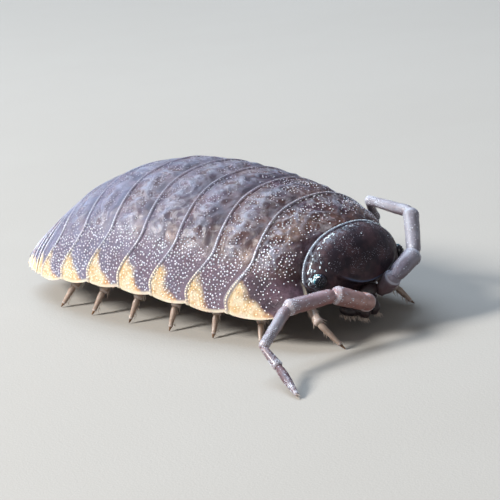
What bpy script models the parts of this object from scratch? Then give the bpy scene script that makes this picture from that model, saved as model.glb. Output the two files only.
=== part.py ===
"""A pill woodlouse at life size, standing with its feelers spread. Metres, +Z up, head towards +X."""

import math

import bmesh
import bpy
from mathutils import Matrix, Vector

# Every size below is in millimetres; MM turns it into metres when a mesh is made.
MM = 0.001
GAP = 0.25  # between one solid and the next
FINE_GAP = 0.2  # round the eyes and at the roots of small parts

# The back is a dome whose sections across the body change along it. The columns are the place along
# the body, half the width over the plate edges, the height of the ridge and the height of the edges.
DOME = (
    (6.9, 2.45, 3.05, 1.30),
    (6.0, 2.72, 3.35, 1.14),
    (4.6, 2.96, 3.92, 1.08),
    (3.4, 3.10, 4.20, 1.12),
    (1.9, 3.33, 4.42, 1.27),
    (0.4, 3.42, 4.54, 1.38),
    (-1.1, 3.42, 4.54, 1.42),
    (-2.6, 3.36, 4.30, 1.36),
    (-4.0, 3.16, 3.78, 1.20),
    (-5.2, 2.84, 3.06, 1.04),
    (-6.2, 2.42, 2.36, 0.96),
    (-7.0, 1.92, 1.80, 0.94),
    (-7.7, 1.30, 1.42, 0.94),
)
SHOULDER = 0.90  # under 1 makes the dome fuller at its shoulders than an ellipse
FLARE = 0.16  # how far the side plates turn outwards at their edges
FLARE_FROM = 0.40  # share of the height below which they do

# Walking plates: the middle of the rear edge of each, and how far its rear corners sweep back.
PLATE_REARS = (4.50, 3.00, 1.50, 0.02, -1.45, -2.88, -4.24)
PLATE_SWEEPS = (0.84, 0.84, 0.84, 0.86, 0.92, 1.02, 1.14)
PLATE_BOW = 0.10  # how far a rear edge bows forward low on the side, before its corner
SWEEP_FROM = 0.62  # share of the arch, from the ridge, where the sweep starts
COLLAR = 5.70  # middle of the front edge of the first plate
CHEEK_REACH = 0.76  # how far the first plate reaches forward beside the head
CHEEK_FROM = 2.22  # distance from the midline where that starts
CHEEK_FULL = 2.52
CHEEK_ROUND = 0.62  # how far the cheek's lower front corner is rounded back
RIM_LIFT = 0.13  # how far a plate's rear edge stands over the plate behind it
FRONT_SINK = 0.04
SCALLOP = 0.14  # droop of each side plate's edge between its corners
PLATE_EDGE = 0.5  # thickness of a side plate at its edge
CUT_SLANT = 0.35  # the cuts between plates lean forward by this much on their way in
BELLY_RISE = 0.88  # height of the belly over the plate edges
BELLY_SHARE = 0.44  # the most that may be of the height of the back, which is low at the tail
ACROSS_FACES = 22
PLATE_FACES = 4

# Tail plates, fused into one pleon: the middle of each rear edge and how far its corners sweep back.
TAIL_REARS = (-4.62, -4.98, -5.52, -6.06, -6.60)
TAIL_SWEEPS = (1.00, 0.86, 0.80, 0.66, 0.50)
TAIL_LIFT = 0.12
TAIL_STEP = 0.03  # length of the fall from one tail plate to the next
TAIL_SHOWN = 0.09  # the least of each tail plate that the one before it leaves bare

# The end of the tail: a short plate on the midline and a flat side limb on each side of it.
TELSON_SIDE = ((-6.86, 0.82), (-7.10, 0.66), (-7.42, 0.42), (-7.72, 0.32))
UROPOD_SIDE = (
    (-6.90, 1.04), (-6.92, 1.34), (-7.08, 1.52), (-7.34, 1.62),
    (-7.52, 1.30), (-7.66, 0.84), (-7.68, 0.66), (-7.46, 0.67),
)
END_THICKNESS = 0.42

# Breathing flaps under the tail, a row on each side, each lapping over the next.
GILL_FLAPS = 5
GILL_FIRST_X = -4.95
GILL_PITCH = 0.36
GILL_TILT = 16.0  # degrees that each flap slopes down towards the tail
GILL_RADII = (0.44, 0.56, 0.16)
GILL_NARROWING = 0.09  # each flap is narrower than the first by this share more
GILL_DROP = 0.50  # from the belly to the middle of a flap

HEAD_BACK = 5.95
HEAD_DEPTH = 1.17
HEAD_HALF_WIDTH = 1.94
HEAD_CENTRE_Z = 2.02
HEAD_UP = 1.28
HEAD_DOWN = 0.88
SHIELD_EDGE_Z = 1.66  # lowest point of the forehead's rim, on the midline
SHIELD_CURVE = 0.28  # how fast the rim rises to each side
SHIELD_LIP = 0.05  # how far the rim stands out
FACE_RECESS = 0.20  # how far the face is set back under it
FEELER_SOCKET = 0.48  # radius of the hollow that each feeler's root sits in
EYE_PLACE = (6.52, 1.76, 2.04)
EYE_RADII = (0.27, 0.16, 0.23)
# The mouthparts of one side, as the centre and radii of each lobe.
MOUTH_LOBES = (
    ((6.42, 0.26, 0.74), (0.46, 0.30, 0.25)),
    ((6.78, 0.20, 0.70), (0.22, 0.20, 0.26)),
    ((6.34, 0.48, 0.72), (0.34, 0.16, 0.20)),
)

# Feelers: the joints from the head outwards, then the radius at each joint and at the tip.
RIGHT_FEELER = (
    (6.92, -0.50, 1.16), (7.68, -0.97, 1.29), (7.29, -1.93, 1.75), (6.79, -3.50, 1.71),
    (7.18, -5.02, 1.00), (7.91, -5.18, 0.56), (9.20, -5.80, 0.12),
)
LEFT_FEELER = (
    (6.92, 0.50, 1.16), (7.50, 0.48, 1.68), (7.47, 1.51, 2.12), (6.64, 2.43, 3.14),
    (4.55, 2.74, 3.22), (4.15, 3.42, 2.40), (3.62, 3.80, 1.10),
)
FEELER_RADII = (0.27, 0.30, 0.28, 0.26, 0.25, 0.25, 0.10)
FEELER_SIDES = 9

# Legs: seven pairs, each from the belly out to a knee, down past the side plate and on to the floor.
LEG_ROOT_Y = 1.25
COXA_LENGTH = 0.42
LEG_RADII = (0.27, 0.27, 0.26, 0.25, 0.22, 0.09)
LEG_SIDES = 8
LEG_LEANS = (1.10, 0.75, 0.35, 0.0, -0.40, -0.80, -1.10)  # how far each foot stands ahead of its root
KNEE_LEAN = 0.30  # share of that at the knee
ANKLE_LEAN = 0.66
KNEE_INSET = 0.74  # from a side plate's inner edge
ANKLE_INSET = 0.26
ANKLE_HEIGHT = 0.56  # as a share of the height of the plate's edge
FOOT_OUTSET = 0.10
TOE_LENGTH = 0.30
TOE_CUT = 0.03  # each toe runs this far under the floor before it is cut to a flat
# The right front leg reaches forward under the head.
REACHING_KNEE = (6.02, -1.92, 1.36)
REACHING_ANKLE = (6.78, -2.22, 0.86)
REACHING_FOOT = (7.42, -1.84, 0.0)

# The outline of one article of a limb: the share of its length, then the share of its full radius.
ARTICLE_OUTLINE = ((0.18, 0.94), (0.78, 1.0))
ARTICLE_WAIST = 0.62  # share of the radius at both ends, inside the neighbouring articles
ARTICLE_SUNK = 0.5  # how far each end runs into its neighbour, as a share of the radius


def smooth(value, start, end):
    """0 before start, 1 after end, and an even S between them."""
    share = min(1.0, max(0.0, (value - start) / (end - start)))
    return share * share * (3 - 2 * share)


def mix(a, b, share):
    return a + (b - a) * share


def dome_at(x):
    """Half width, ridge height and edge height at x, read from DOME by a smooth curve."""
    x = min(max(x, DOME[-1][0]), DOME[0][0])
    last = len(DOME) - 1
    k = next(i for i in range(last) if DOME[i + 1][0] <= x)
    before, here, after, beyond = (DOME[min(max(i, 0), last)] for i in range(k - 1, k + 3))
    span = here[0] - after[0]
    t = (here[0] - x) / span
    values = []
    for column in (1, 2, 3):
        start_slope = (after[column] - before[column]) / (before[0] - after[0]) * span
        end_slope = (beyond[column] - here[column]) / (here[0] - beyond[0]) * span
        values.append(
            here[column] * (2 * t**3 - 3 * t**2 + 1) + start_slope * (t**3 - 2 * t**2 + t)
            + after[column] * (3 * t**2 - 2 * t**3) + end_slope * (t**3 - t**2)
        )
    return tuple(values)


def arch_point(x, across, lift=0.0, droop=0.0):
    """A point of the back. across runs from -1 at the right edge, over the ridge, to 1 at the left."""
    half_width, ridge, edge = dome_at(x)
    turn = across * math.pi / 2
    rise = max(math.cos(turn), 0.0) ** SHOULDER
    side = math.copysign(abs(math.sin(turn)) ** SHOULDER, across)
    flare = math.copysign(FLARE * max(0.0, 1 - rise / FLARE_FROM) ** 2, across)
    y = side * (half_width + lift) + flare
    return Vector((x, y, mix(edge, ridge + lift, rise) - edge_droop(across, droop)))


def belly_point(x, across, droop=0.0):
    """A point of the underside, which is hollowed between the side plates."""
    side = math.copysign(abs(math.sin(across * math.pi / 2)) ** SHOULDER, across)
    return Vector((x, side * inner_edge(x), belly_z(x, side) - edge_droop(across, droop)))


def edge_droop(across, droop):
    return droop * smooth(abs(across), 0.72, 1.0)


def inner_edge(x):
    """Distance from the midline to the inner face of a side plate."""
    return dome_at(x)[0] + FLARE - PLATE_EDGE


def belly_z(x, side):
    """Height of the belly. side runs from -1 to 1 between the inner faces of the side plates."""
    _, ridge, edge = dome_at(x)
    rise = min(BELLY_RISE, BELLY_SHARE * (ridge - edge))
    return edge + rise * (1 - side**4)


def plate_edge(middle, sweep):
    """A rear edge: nearly straight over the back, bowed forward low on the side, its corner swept back."""
    def edge(across):
        bow = PLATE_BOW * smooth(abs(across), 0.15, 0.55) * smooth(abs(across), 0.9, 0.65)
        return middle + bow - sweep * smooth(abs(across), SWEEP_FROM, 1.0) ** 1.2
    return edge


def tail_edge(middle, sweep, ahead):
    """A rear edge of the tail. Its corners sweep back from nearer the ridge, clear of the plate ahead."""
    def edge(across):
        return min(middle - sweep * smooth(abs(across), 0.42, 0.9), ahead(across) - TAIL_SHOWN)
    return edge


def cheek_edge(across, y):
    """The front edge of the first plate, which reaches forward on each side of the head."""
    reach = CHEEK_REACH * smooth(abs(y), CHEEK_FROM, CHEEK_FULL)
    return COLLAR + reach - CHEEK_ROUND * smooth(abs(across), 0.86, 1.0)


def placed(bm, name, finish):
    """Makes the bmesh into an object in metres, its faces pointing out."""
    bmesh.ops.recalc_face_normals(bm, faces=bm.faces)
    bmesh.ops.scale(bm, vec=(MM, MM, MM), verts=bm.verts)
    mesh = bpy.data.meshes.new(name)
    bm.to_mesh(mesh)
    bm.free()
    mesh.shade_smooth()
    mesh.set_sharp_from_angle(angle=math.radians(40))
    mesh.materials.append(finish)
    item = bpy.data.objects.new(name, mesh)
    bpy.context.scene.collection.objects.link(item)
    return item


def curved_slab(faces_along, outer_point, inner_point):
    """A slab bent over the body: a flat grid, extruded once, whose two faces are then put in place.

    Both point functions take the share of the way from front to rear and the place across the body.
    """
    bm = bmesh.new()
    bmesh.ops.create_grid(bm, x_segments=faces_along, y_segments=ACROSS_FACES, size=1.0)
    grown = bmesh.ops.extrude_face_region(bm, geom=bm.faces[:])
    inner = {vert for vert in grown["geom"] if isinstance(vert, bmesh.types.BMVert)}
    for vert in bm.verts:
        point = inner_point if vert in inner else outer_point
        vert.co = point((1 - vert.co.x) / 2, vert.co.y)
    return bm


def walking_plate(index, finish):
    """One of the seven plates that carry legs, with its side plates and the belly under it."""
    rear = plate_edge(PLATE_REARS[index], PLATE_SWEEPS[index])
    if index:
        ahead = plate_edge(PLATE_REARS[index - 1], PLATE_SWEEPS[index - 1])

        def front(across):
            return ahead(across) - GAP

        def front_inside(across):
            return ahead(across) - GAP + CUT_SLANT
    else:
        def front(across):
            return cheek_edge(across, arch_point(COLLAR, across).y)

        def front_inside(across):
            return cheek_edge(across, belly_point(COLLAR, across).y)

    def droop(share):
        return SCALLOP * max(0.0, math.sin(math.pi * share)) ** 0.8

    def outer_point(share, across):
        lift = mix(-FRONT_SINK, RIM_LIFT, share**1.6)
        return arch_point(mix(front(across), rear(across), share), across, lift, droop(share))

    def inner_point(share, across):
        x = mix(front_inside(across), rear(across) + CUT_SLANT, share)
        return belly_point(x, across, droop(share))

    return placed(curved_slab(PLATE_FACES, outer_point, inner_point), f"pereonite_{index + 1}", finish)


def pleon(finish):
    """The tail's five plates as one body, each stepping down to the next."""
    last = plate_edge(PLATE_REARS[-1], PLATE_SWEEPS[-1])
    edges = [lambda across: last(across) - GAP]
    for middle, sweep in zip(TAIL_REARS, TAIL_SWEEPS):
        edges.append(tail_edge(middle, sweep, edges[-1]))
    rings = []
    for number in range(len(TAIL_REARS)):
        rings += [(number, 0.0, -FRONT_SINK), (number, 0.8, TAIL_LIFT * 0.75), (number, 1.0, TAIL_LIFT)]

    def ring_x(share, across):
        number, along, lift = rings[round(share * (len(rings) - 1))]
        step = TAIL_STEP if number and not along else 0.0
        return mix(edges[number](across), edges[number + 1](across), along) - step, lift

    def outer_point(share, across):
        x, lift = ring_x(share, across)
        return arch_point(x, across, lift)

    def inner_point(share, across):
        return belly_point(ring_x(share, across)[0] + CUT_SLANT, across)

    return placed(curved_slab(len(rings) - 1, outer_point, inner_point), "pleon", finish)


def ball(centre, radii, segments=10, rings=7):
    bm = bmesh.new()
    bmesh.ops.create_uvsphere(bm, u_segments=segments, v_segments=rings, radius=1.0)
    bmesh.ops.scale(bm, vec=radii, verts=bm.verts)
    bmesh.ops.translate(bm, vec=centre, verts=bm.verts)
    return bm


def on_side(point, side):
    """The point mirrored to one side: -1 is the right, 1 the left."""
    return Vector((point[0], side * point[1], point[2]))


def head(finish):
    """The head: a steep rounded forehead that ends in a rimmed shield, over a face set back from it."""
    bm = bmesh.new()
    bmesh.ops.create_uvsphere(bm, u_segments=32, v_segments=24, radius=1.0)
    for vert in bm.verts:
        sx, sy, sz = vert.co
        y = HEAD_HALF_WIDTH * math.copysign(abs(sy) ** 0.9, sy)
        z = HEAD_CENTRE_Z + (HEAD_UP if sz > 0 else HEAD_DOWN) * math.copysign(abs(sz) ** 0.95, sz)
        x = HEAD_BACK + HEAD_DEPTH * max(sx, 0.0) ** 0.85
        rim = SHIELD_EDGE_Z + SHIELD_CURVE * y * y
        front = smooth(sx, 0.2, 0.6)
        x += SHIELD_LIP * front * smooth(z, rim + 0.26, rim + 0.1) * smooth(z, rim - 0.1, rim)
        x -= FACE_RECESS * front * smooth(z, rim, rim - 0.14)
        vert.co = (x, y, z)
    made = placed(bm, "head", finish)
    hollows = []
    for side, feeler in ((-1, RIGHT_FEELER), (1, LEFT_FEELER)):
        eye_hollow = ball(on_side(EYE_PLACE, side), [radius + FINE_GAP for radius in EYE_RADII], 12, 8)
        hollows.append(placed(eye_hollow, "eye_hollow", finish))
        hollows.append(placed(ball(feeler[0], [FEELER_SOCKET] * 3, 12, 8), "feeler_hollow", finish))
    return joined(made, hollows, "DIFFERENCE")


def eye(side, finish):
    name = f"eye_{'left' if side > 0 else 'right'}"
    return placed(ball(on_side(EYE_PLACE, side), EYE_RADII, 12, 8), name, finish)


def mouthparts(finish):
    """The jaws and the lobed plates that cover them, as one body under the head."""
    lobes = []
    for side in (-1, 1):
        for centre, radii in MOUTH_LOBES:
            lobes.append(placed(ball(on_side(centre, side), radii), "mouthparts", finish))
    return joined(lobes[0], lobes[1:])


def joined(item, others, operation="UNION"):
    """Joins the others to item, or cuts them from it, and keeps its largest closed surface."""
    together = bpy.data.collections.new("together")
    for other in others:
        bpy.context.scene.collection.objects.unlink(other)
        together.objects.link(other)
    bpy.context.scene.collection.children.link(together)
    boolean = item.modifiers.new("join", "BOOLEAN")
    boolean.operation = operation
    boolean.operand_type = "COLLECTION"
    boolean.collection = together
    boolean.solver = "EXACT"
    graph = bpy.context.evaluated_depsgraph_get()
    result = bpy.data.meshes.new_from_object(item.evaluated_get(graph))
    item.modifiers.clear()
    item.data = result
    for other in others:
        bpy.data.objects.remove(other)
    bpy.data.collections.remove(together)
    keep_largest_piece(result)
    return item


def keep_largest_piece(mesh):
    """Drops every closed surface of the mesh but the one with most faces."""
    bm = bmesh.new()
    bm.from_mesh(mesh)
    left = set(bm.faces)
    pieces = []
    while left:
        reached = [left.pop()]
        for face in reached:
            beside = {other for edge in face.edges for other in edge.link_faces} & left
            left -= beside
            reached.extend(beside)
        pieces.append(reached)
    pieces.sort(key=len)
    scraps = [face for piece in pieces[:-1] for face in piece]
    bmesh.ops.delete(bm, geom=scraps, context="FACES")
    bm.to_mesh(mesh)
    bm.free()


def turned(outline, sides):
    """A body turned round the Z axis from an outline of radius and height, closed at both ends."""
    bm = bmesh.new()
    points = [(0.0, outline[0][1]), *outline, (0.0, outline[-1][1])]
    verts = [bm.verts.new((radius, 0.0, height)) for radius, height in points]
    edges = [bm.edges.new(pair) for pair in zip(verts, verts[1:])]
    bmesh.ops.spin(
        bm, geom=verts + edges, cent=(0, 0, 0), axis=(0, 0, 1), angle=2 * math.pi, steps=sides,
        use_merge=True,
    )
    bmesh.ops.remove_doubles(bm, verts=bm.verts, dist=1e-5)
    return bm


def article(start, end, root_radius, end_radius, sides):
    """One piece of a limb, waisted where it runs into its neighbours and fullest near its far end."""
    start, end = Vector(start), Vector(end)
    length = (end - start).length
    outline = [(ARTICLE_WAIST * root_radius, -ARTICLE_SUNK * root_radius)]
    for share, fullness in ARTICLE_OUTLINE:
        outline.append((fullness * mix(root_radius, end_radius, share), share * length))
    outline.append((ARTICLE_WAIST * end_radius, length + ARTICLE_SUNK * end_radius))
    bm = turned(outline, sides)
    turn = (end - start).to_track_quat("Z", "Y").to_matrix()
    bmesh.ops.rotate(bm, verts=bm.verts, cent=(0, 0, 0), matrix=turn)
    bmesh.ops.translate(bm, verts=bm.verts, vec=start)
    return bm


def limb(name, joints, radii, sides, finish):
    """A jointed limb as one body, from its root to its tip."""
    pieces = []
    for start, end, root_radius, end_radius in zip(joints, joints[1:], radii, radii[1:]):
        pieces.append(placed(article(start, end, root_radius, end_radius, sides), name, finish))
    return joined(pieces[0], pieces[1:])


def cut_at_floor(item):
    """Cuts a limb's tip to a small flat that lies on the floor."""
    bm = bmesh.new()
    bm.from_mesh(item.data)
    cut = bmesh.ops.bisect_plane(
        bm, geom=bm.verts[:] + bm.edges[:] + bm.faces[:],
        plane_co=(0, 0, 0), plane_no=(0, 0, -1), clear_outer=True, dist=1e-7,
    )
    rim = [part for part in cut["geom_cut"] if isinstance(part, bmesh.types.BMEdge)]
    bmesh.ops.edgeloop_fill(bm, edges=rim)
    bm.to_mesh(item.data)
    bm.free()


def leg(index, side, finish):
    """One walking leg. side is -1 on the right and 1 on the left."""
    ahead = PLATE_REARS[index - 1] if index else COLLAR - CUT_SLANT
    root_x = (PLATE_REARS[index] + ahead - GAP) / 2 + CUT_SLANT
    inner = inner_edge(root_x)
    _, _, edge = dome_at(root_x)
    lean = LEG_LEANS[index]
    top = Vector((root_x, side * LEG_ROOT_Y, belly_z(root_x, LEG_ROOT_Y / inner) - GAP))
    hip = top - Vector((0, 0, COXA_LENGTH))
    knee = Vector((root_x + KNEE_LEAN * lean, side * (inner - KNEE_INSET), edge))
    ankle = Vector((root_x + ANKLE_LEAN * lean, side * (inner - ANKLE_INSET), ANKLE_HEIGHT * edge))
    foot = Vector((root_x + lean, side * (inner + FOOT_OUTSET), 0.0))
    if index == 0 and side < 0:
        knee, ankle, foot = Vector(REACHING_KNEE), Vector(REACHING_ANKLE), Vector(REACHING_FOOT)
    down = (foot - ankle).normalized()
    joints = (top, hip, knee, ankle, foot - TOE_LENGTH * down, foot + TOE_CUT * down)
    name = f"leg_{'left' if side > 0 else 'right'}_{index + 1}"
    made = limb(name, joints, LEG_RADII, LEG_SIDES, finish)
    cut_at_floor(made)
    return made


def end_plate(name, outline, finish):
    """A thick plate of the tail's end, whose upper face follows the back."""
    bm = bmesh.new()
    upper = [bm.verts.new((x, y, dome_z(x, y) + TAIL_LIFT / 2)) for x, y in outline]
    face = bm.faces.new(upper)
    grown = bmesh.ops.extrude_face_region(bm, geom=[face])
    lower = [vert for vert in grown["geom"] if isinstance(vert, bmesh.types.BMVert)]
    bmesh.ops.translate(bm, vec=(0, 0, -END_THICKNESS), verts=lower)
    bmesh.ops.triangulate(bm, faces=bm.faces)
    return placed(bm, name, finish)


def dome_z(x, y):
    """Height of the back over a point of the floor."""
    half_width, ridge, edge = dome_at(x)
    side = min(1.0, abs(y) / half_width) ** (1 / SHOULDER)
    return mix(edge, ridge, math.sqrt(1 - side * side) ** SHOULDER)


def pleopods(side, finish):
    """The breathing flaps under the tail on one side."""
    flaps = []
    for i in range(GILL_FLAPS):
        x = GILL_FIRST_X - i * GILL_PITCH
        length, width, thickness = GILL_RADII
        width *= 1 - GILL_NARROWING * i
        bm = ball((0, 0, 0), (length, width, thickness), 10, 6)
        tilt = Matrix.Rotation(math.radians(-GILL_TILT), 3, "Y")
        bmesh.ops.rotate(bm, verts=bm.verts, cent=(0, 0, 0), matrix=tilt)
        bmesh.ops.translate(bm, vec=(x, side * (GAP / 2 + width), belly_z(x, 0.0) - GILL_DROP), verts=bm.verts)
        flaps.append(placed(bm, f"pleopods_{'left' if side > 0 else 'right'}", finish))
    return joined(flaps[0], flaps[1:])


def centre_on_floor(items):
    """Moves everything so that the origin is the middle of its footprint, on the floor."""
    corners = [vert.co for item in items for vert in item.data.vertices]
    middle = [(min(c[i] for c in corners) + max(c[i] for c in corners)) / 2 for i in (0, 1)]
    for item in items:
        item.location = (-middle[0], -middle[1], 0.0)


def material(name, colour, roughness):
    made = bpy.data.materials.new(name)
    made.use_nodes = True
    shader = made.node_tree.nodes["Principled BSDF"]
    shader.inputs["Base Color"].default_value = (*colour, 1.0)
    shader.inputs["Roughness"].default_value = roughness
    shader.inputs["Metallic"].default_value = 0.0
    return made


def main():
    for old in list(bpy.data.objects):
        bpy.data.objects.remove(old)
    shell = material("shell", (0.13, 0.11, 0.12), 0.5)
    dark = material("head_shell", (0.06, 0.05, 0.06), 0.45)
    skin = material("limb_skin", (0.42, 0.36, 0.37), 0.6)
    black = material("eye", (0.01, 0.01, 0.015), 0.15)
    pale = material("gill", (0.66, 0.62, 0.58), 0.6)
    made = [walking_plate(index, shell) for index in range(len(PLATE_REARS))]
    made += [pleon(shell), head(dark), mouthparts(dark)]
    telson_outline = TELSON_SIDE + tuple((x, -y) for x, y in reversed(TELSON_SIDE))
    made.append(end_plate("telson", telson_outline, shell))
    for side, word, feeler in ((-1, "right", RIGHT_FEELER), (1, "left", LEFT_FEELER)):
        made.append(eye(side, black))
        made.append(limb(f"antenna_{word}", feeler, FEELER_RADII, FEELER_SIDES, skin))
        made.append(end_plate(f"uropod_{word}", [(x, side * y) for x, y in UROPOD_SIDE], shell))
        made.append(pleopods(side, pale))
        made += [leg(index, side, skin) for index in range(len(PLATE_REARS))]
    centre_on_floor(made)


main()
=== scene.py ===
"""The looks of a pill woodlouse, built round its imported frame.

Shapes are worked out in millimetres in the body's own axes, +X to the head and +Z up from the floor,
and turned into the frame's metres when a mesh is made.
"""

import itertools
import math
import random

import bmesh
import bpy
import numpy as np
from mathutils import Matrix, Vector, noise


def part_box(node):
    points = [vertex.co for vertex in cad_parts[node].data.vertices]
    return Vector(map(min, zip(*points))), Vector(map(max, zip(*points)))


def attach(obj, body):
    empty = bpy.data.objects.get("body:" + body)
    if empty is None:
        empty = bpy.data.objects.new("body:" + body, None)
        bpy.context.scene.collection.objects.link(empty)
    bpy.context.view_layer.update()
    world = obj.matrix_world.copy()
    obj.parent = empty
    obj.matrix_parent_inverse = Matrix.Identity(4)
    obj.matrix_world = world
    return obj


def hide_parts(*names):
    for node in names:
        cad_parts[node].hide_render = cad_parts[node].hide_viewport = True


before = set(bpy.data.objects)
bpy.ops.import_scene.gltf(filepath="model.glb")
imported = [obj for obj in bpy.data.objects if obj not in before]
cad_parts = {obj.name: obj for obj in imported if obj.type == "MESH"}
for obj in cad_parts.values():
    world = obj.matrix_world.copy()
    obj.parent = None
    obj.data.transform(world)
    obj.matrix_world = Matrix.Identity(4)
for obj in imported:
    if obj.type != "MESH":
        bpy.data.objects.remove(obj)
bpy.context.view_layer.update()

MM = 0.001
SIDES = ((-1, "right"), (1, "left"))

# The form of the back, as the part's source has it: place along the body, half width over the plate
# edges, height of the ridge, height of the edges.
DOME = (
    (6.9, 2.45, 3.05, 1.30),
    (6.0, 2.72, 3.35, 1.14),
    (4.6, 2.96, 3.92, 1.08),
    (3.4, 3.10, 4.20, 1.12),
    (1.9, 3.33, 4.42, 1.27),
    (0.4, 3.42, 4.54, 1.38),
    (-1.1, 3.42, 4.54, 1.42),
    (-2.6, 3.36, 4.30, 1.36),
    (-4.0, 3.16, 3.78, 1.20),
    (-5.2, 2.84, 3.06, 1.04),
    (-6.2, 2.42, 2.36, 0.96),
    (-7.0, 1.92, 1.80, 0.94),
    (-7.7, 1.30, 1.42, 0.94),
)
SHOULDER = 0.90
FLARE = 0.16
FLARE_FROM = 0.40
PLATE_REARS = (4.50, 3.00, 1.50, 0.02, -1.45, -2.88, -4.24)
PLATE_SWEEPS = (0.84, 0.84, 0.84, 0.86, 0.92, 1.02, 1.14)
PLATE_BOW = 0.10
SWEEP_FROM = 0.62
SCALLOP = 0.14
RIM_LIFT = 0.105
FRONT_SINK = 0.04
PLATE_EDGE = 0.5
BELLY_RISE = 0.88
BELLY_SHARE = 0.44
TAIL_REARS = (-4.62, -4.98, -5.52, -6.06, -6.60)
TAIL_SWEEPS = (1.00, 0.86, 0.80, 0.66, 0.50)
TAIL_LIFT = 0.08
TAIL_SHOWN = 0.09
FAN_BACK = -7.72  # middle of the telson's rear edge
FAN_SIDE_X = -7.08  # where the tail's rounded outline meets the last tail plate
FAN_HALF_WIDTH = 1.86
FAN_EDGE_Z = 0.97
FAN_CROWN = 0.16  # how much higher the outline is at the midline
FAN_SWELL = 0.10
FAN_SINK = 0.07
TELSON_ACROSS = (0.30, 0.15)  # half its width, as a place across the body, at its root and its end
UROPOD_ACROSS = 0.96  # outer side of the two side plates
FAN_GAP = 0.012
FAN_THICKNESS = 0.13
FAN_TUCK = 0.25
FAN_THINNING = 0.06  # distance from a free edge over which it thins

# The head, its eyes and the shapes under it.
HEAD_BACK = 5.95
HEAD_DEPTH = 1.17
HEAD_HALF_WIDTH = 1.94
HEAD_CENTRE_Z = 2.02
HEAD_UP = 1.28
HEAD_DOWN = 0.88
SHIELD_EDGE_Z = 1.66
SHIELD_CURVE = 0.28
SHIELD_LIP = 0.05
FACE_RECESS = 0.20
SHIELD_ENDS = (1.0, 1.5)  # distance from the midline at which its rim starts to fade, and is gone
FEELER_SOCKET = 0.40
FEELER_SOCKET_DEPTH = 0.3
EYE_PLACE = (6.52, 1.76, 2.04)
EYE_RADII = (0.27, 0.16, 0.23)
EYE_SUNK = 0.03
LENS_STEP = 0.30
LENS_ROWS = 3  # rows of lenses on each side of the eye's middle
LENS_RADII = (0.036, 0.036, 0.026, 1.0)
HEAD_RIM_AT = 0.07  # place of the rear rim's crest in front of the head's back
HEAD_RIM_HALF = 0.045
HEAD_RIM_HEIGHT = 0.026
HEAD_RIM_DEPTH = 0.024  # the crest's place again, as a share of the way to the head's front
HEAD_RIM_LENGTH = 4.6
HEAD_BEAD_SPACING = 0.055
HEAD_GROOVE_DEPTH = 0.03

# Feelers: the joints from the head outwards, and the radius at each.
RIGHT_FEELER = (
    (6.92, -0.50, 1.16), (7.68, -0.97, 1.29), (7.29, -1.93, 1.75), (6.79, -3.50, 1.71),
    (7.18, -5.02, 1.00), (7.91, -5.18, 0.56), (9.20, -5.80, 0.12),
)
LEFT_FEELER = (
    (6.92, 0.50, 1.16), (7.50, 0.48, 1.68), (7.47, 1.51, 2.12), (6.64, 2.43, 3.14),
    (4.55, 2.74, 3.22), (4.15, 3.42, 2.40), (3.62, 3.80, 1.10),
)
# Each feeler's articles: radius at the root end, radius at the far end.
FEELER_ARTICLES = ((0.26, 0.28), (0.26, 0.28), (0.22, 0.24), (0.19, 0.15), (0.11, 0.15), (0.11, 0.06))
FEELER_BELLIES = (0.0, 0.04, 0.03, 0.03, 0.03, 0.60)
# The scales of each article: their spacing, their size, and the share of its length where they crowd.
FEELER_SCALES = (
    None, (0.062, 0.018, 0.75), (0.062, 0.018, 0.75), (0.062, 0.018, 0.45), (0.044, 0.015, 0.45),
    (0.044, 0.015, 0.45),
)

# Legs: where each starts, how it leans and how thick its articles are.
COLLAR = 5.70
CUT_SLANT = 0.35
GAP = 0.25
LEG_ROOT_Y = 1.25
COXA_LENGTH = 0.42
LEG_LEANS = (1.10, 0.75, 0.35, 0.0, -0.40, -0.80, -1.10)
KNEE_LEAN = 0.30
ANKLE_LEAN = 0.66
KNEE_INSET = 0.74
ANKLE_INSET = 0.26
ANKLE_HEIGHT = 0.56
FOOT_OUTSET = 0.10
REACHING_KNEE = (6.02, -1.92, 1.36)
REACHING_ANKLE = (6.78, -2.22, 0.86)
REACHING_FOOT = (7.42, -1.84, 0.0)
# A leg's articles from the body outwards: radius at each end, number of spines, their length.
LEG_ARTICLES = (
    (0.24, 0.22, 0, 0.0), (0.17, 0.19, 8, 0.12), (0.16, 0.17, 10, 0.16), (0.14, 0.145, 20, 0.20),
    (0.115, 0.065, 16, 0.11),
)
THIGH_SHARE = 0.62  # how far from hip to knee the second article reaches

# What only the looks have: thin plates that lap, rims, granules.
SHELL_THICKNESS = 0.12
TUCK = 0.35  # how far each plate runs on under the one ahead
RIM_WIDTH = 0.09
RIM_HEIGHT = 0.012
GROOVE_DEPTH = 0.026
RIM_ZONE = 0.22  # length at the rear that gets its own fine rows
RIM_ROWS = 0.24  # share of a plate's rows that it gets
FIRST_SWELL = 0.05
SWELL = 0.09  # height of the fold across each later plate
GRANULE_SPACING = 0.092
GRANULES_REACH = 0.985  # place across the body past which there are none
LEAST_GAP = 0.74  # between two granules, as a share of their spacing
TAIL_GRANULE_SPACING = 0.12
FAN_GRANULE_SPACING = 0.11
BEAD_SPACING = 0.075  # of the beads along a rear rim
TAIL_BEAD_SPACING = 0.08
BACK_GIRTH = 10.5  # length of the back's arch from edge to edge
TAIL_GIRTH = 8.0
FAN_GIRTH = 1.4
# Share of each plate's length at which the yellow patch on its lower edge starts.
PATCH_STARTS = (0.20, 0.42, 0.28, 0.26, 0.26, 0.26, 0.26)
TAIL_PATCH_START = 0.2
UNDERSIDE_REACH = 0.25  # the place across the body whose plain markings the undersides take
PLATE_FACES = (46, 250)
TAIL_FACES = (34, 220)
FAN_FACES = (40, 44)

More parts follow.
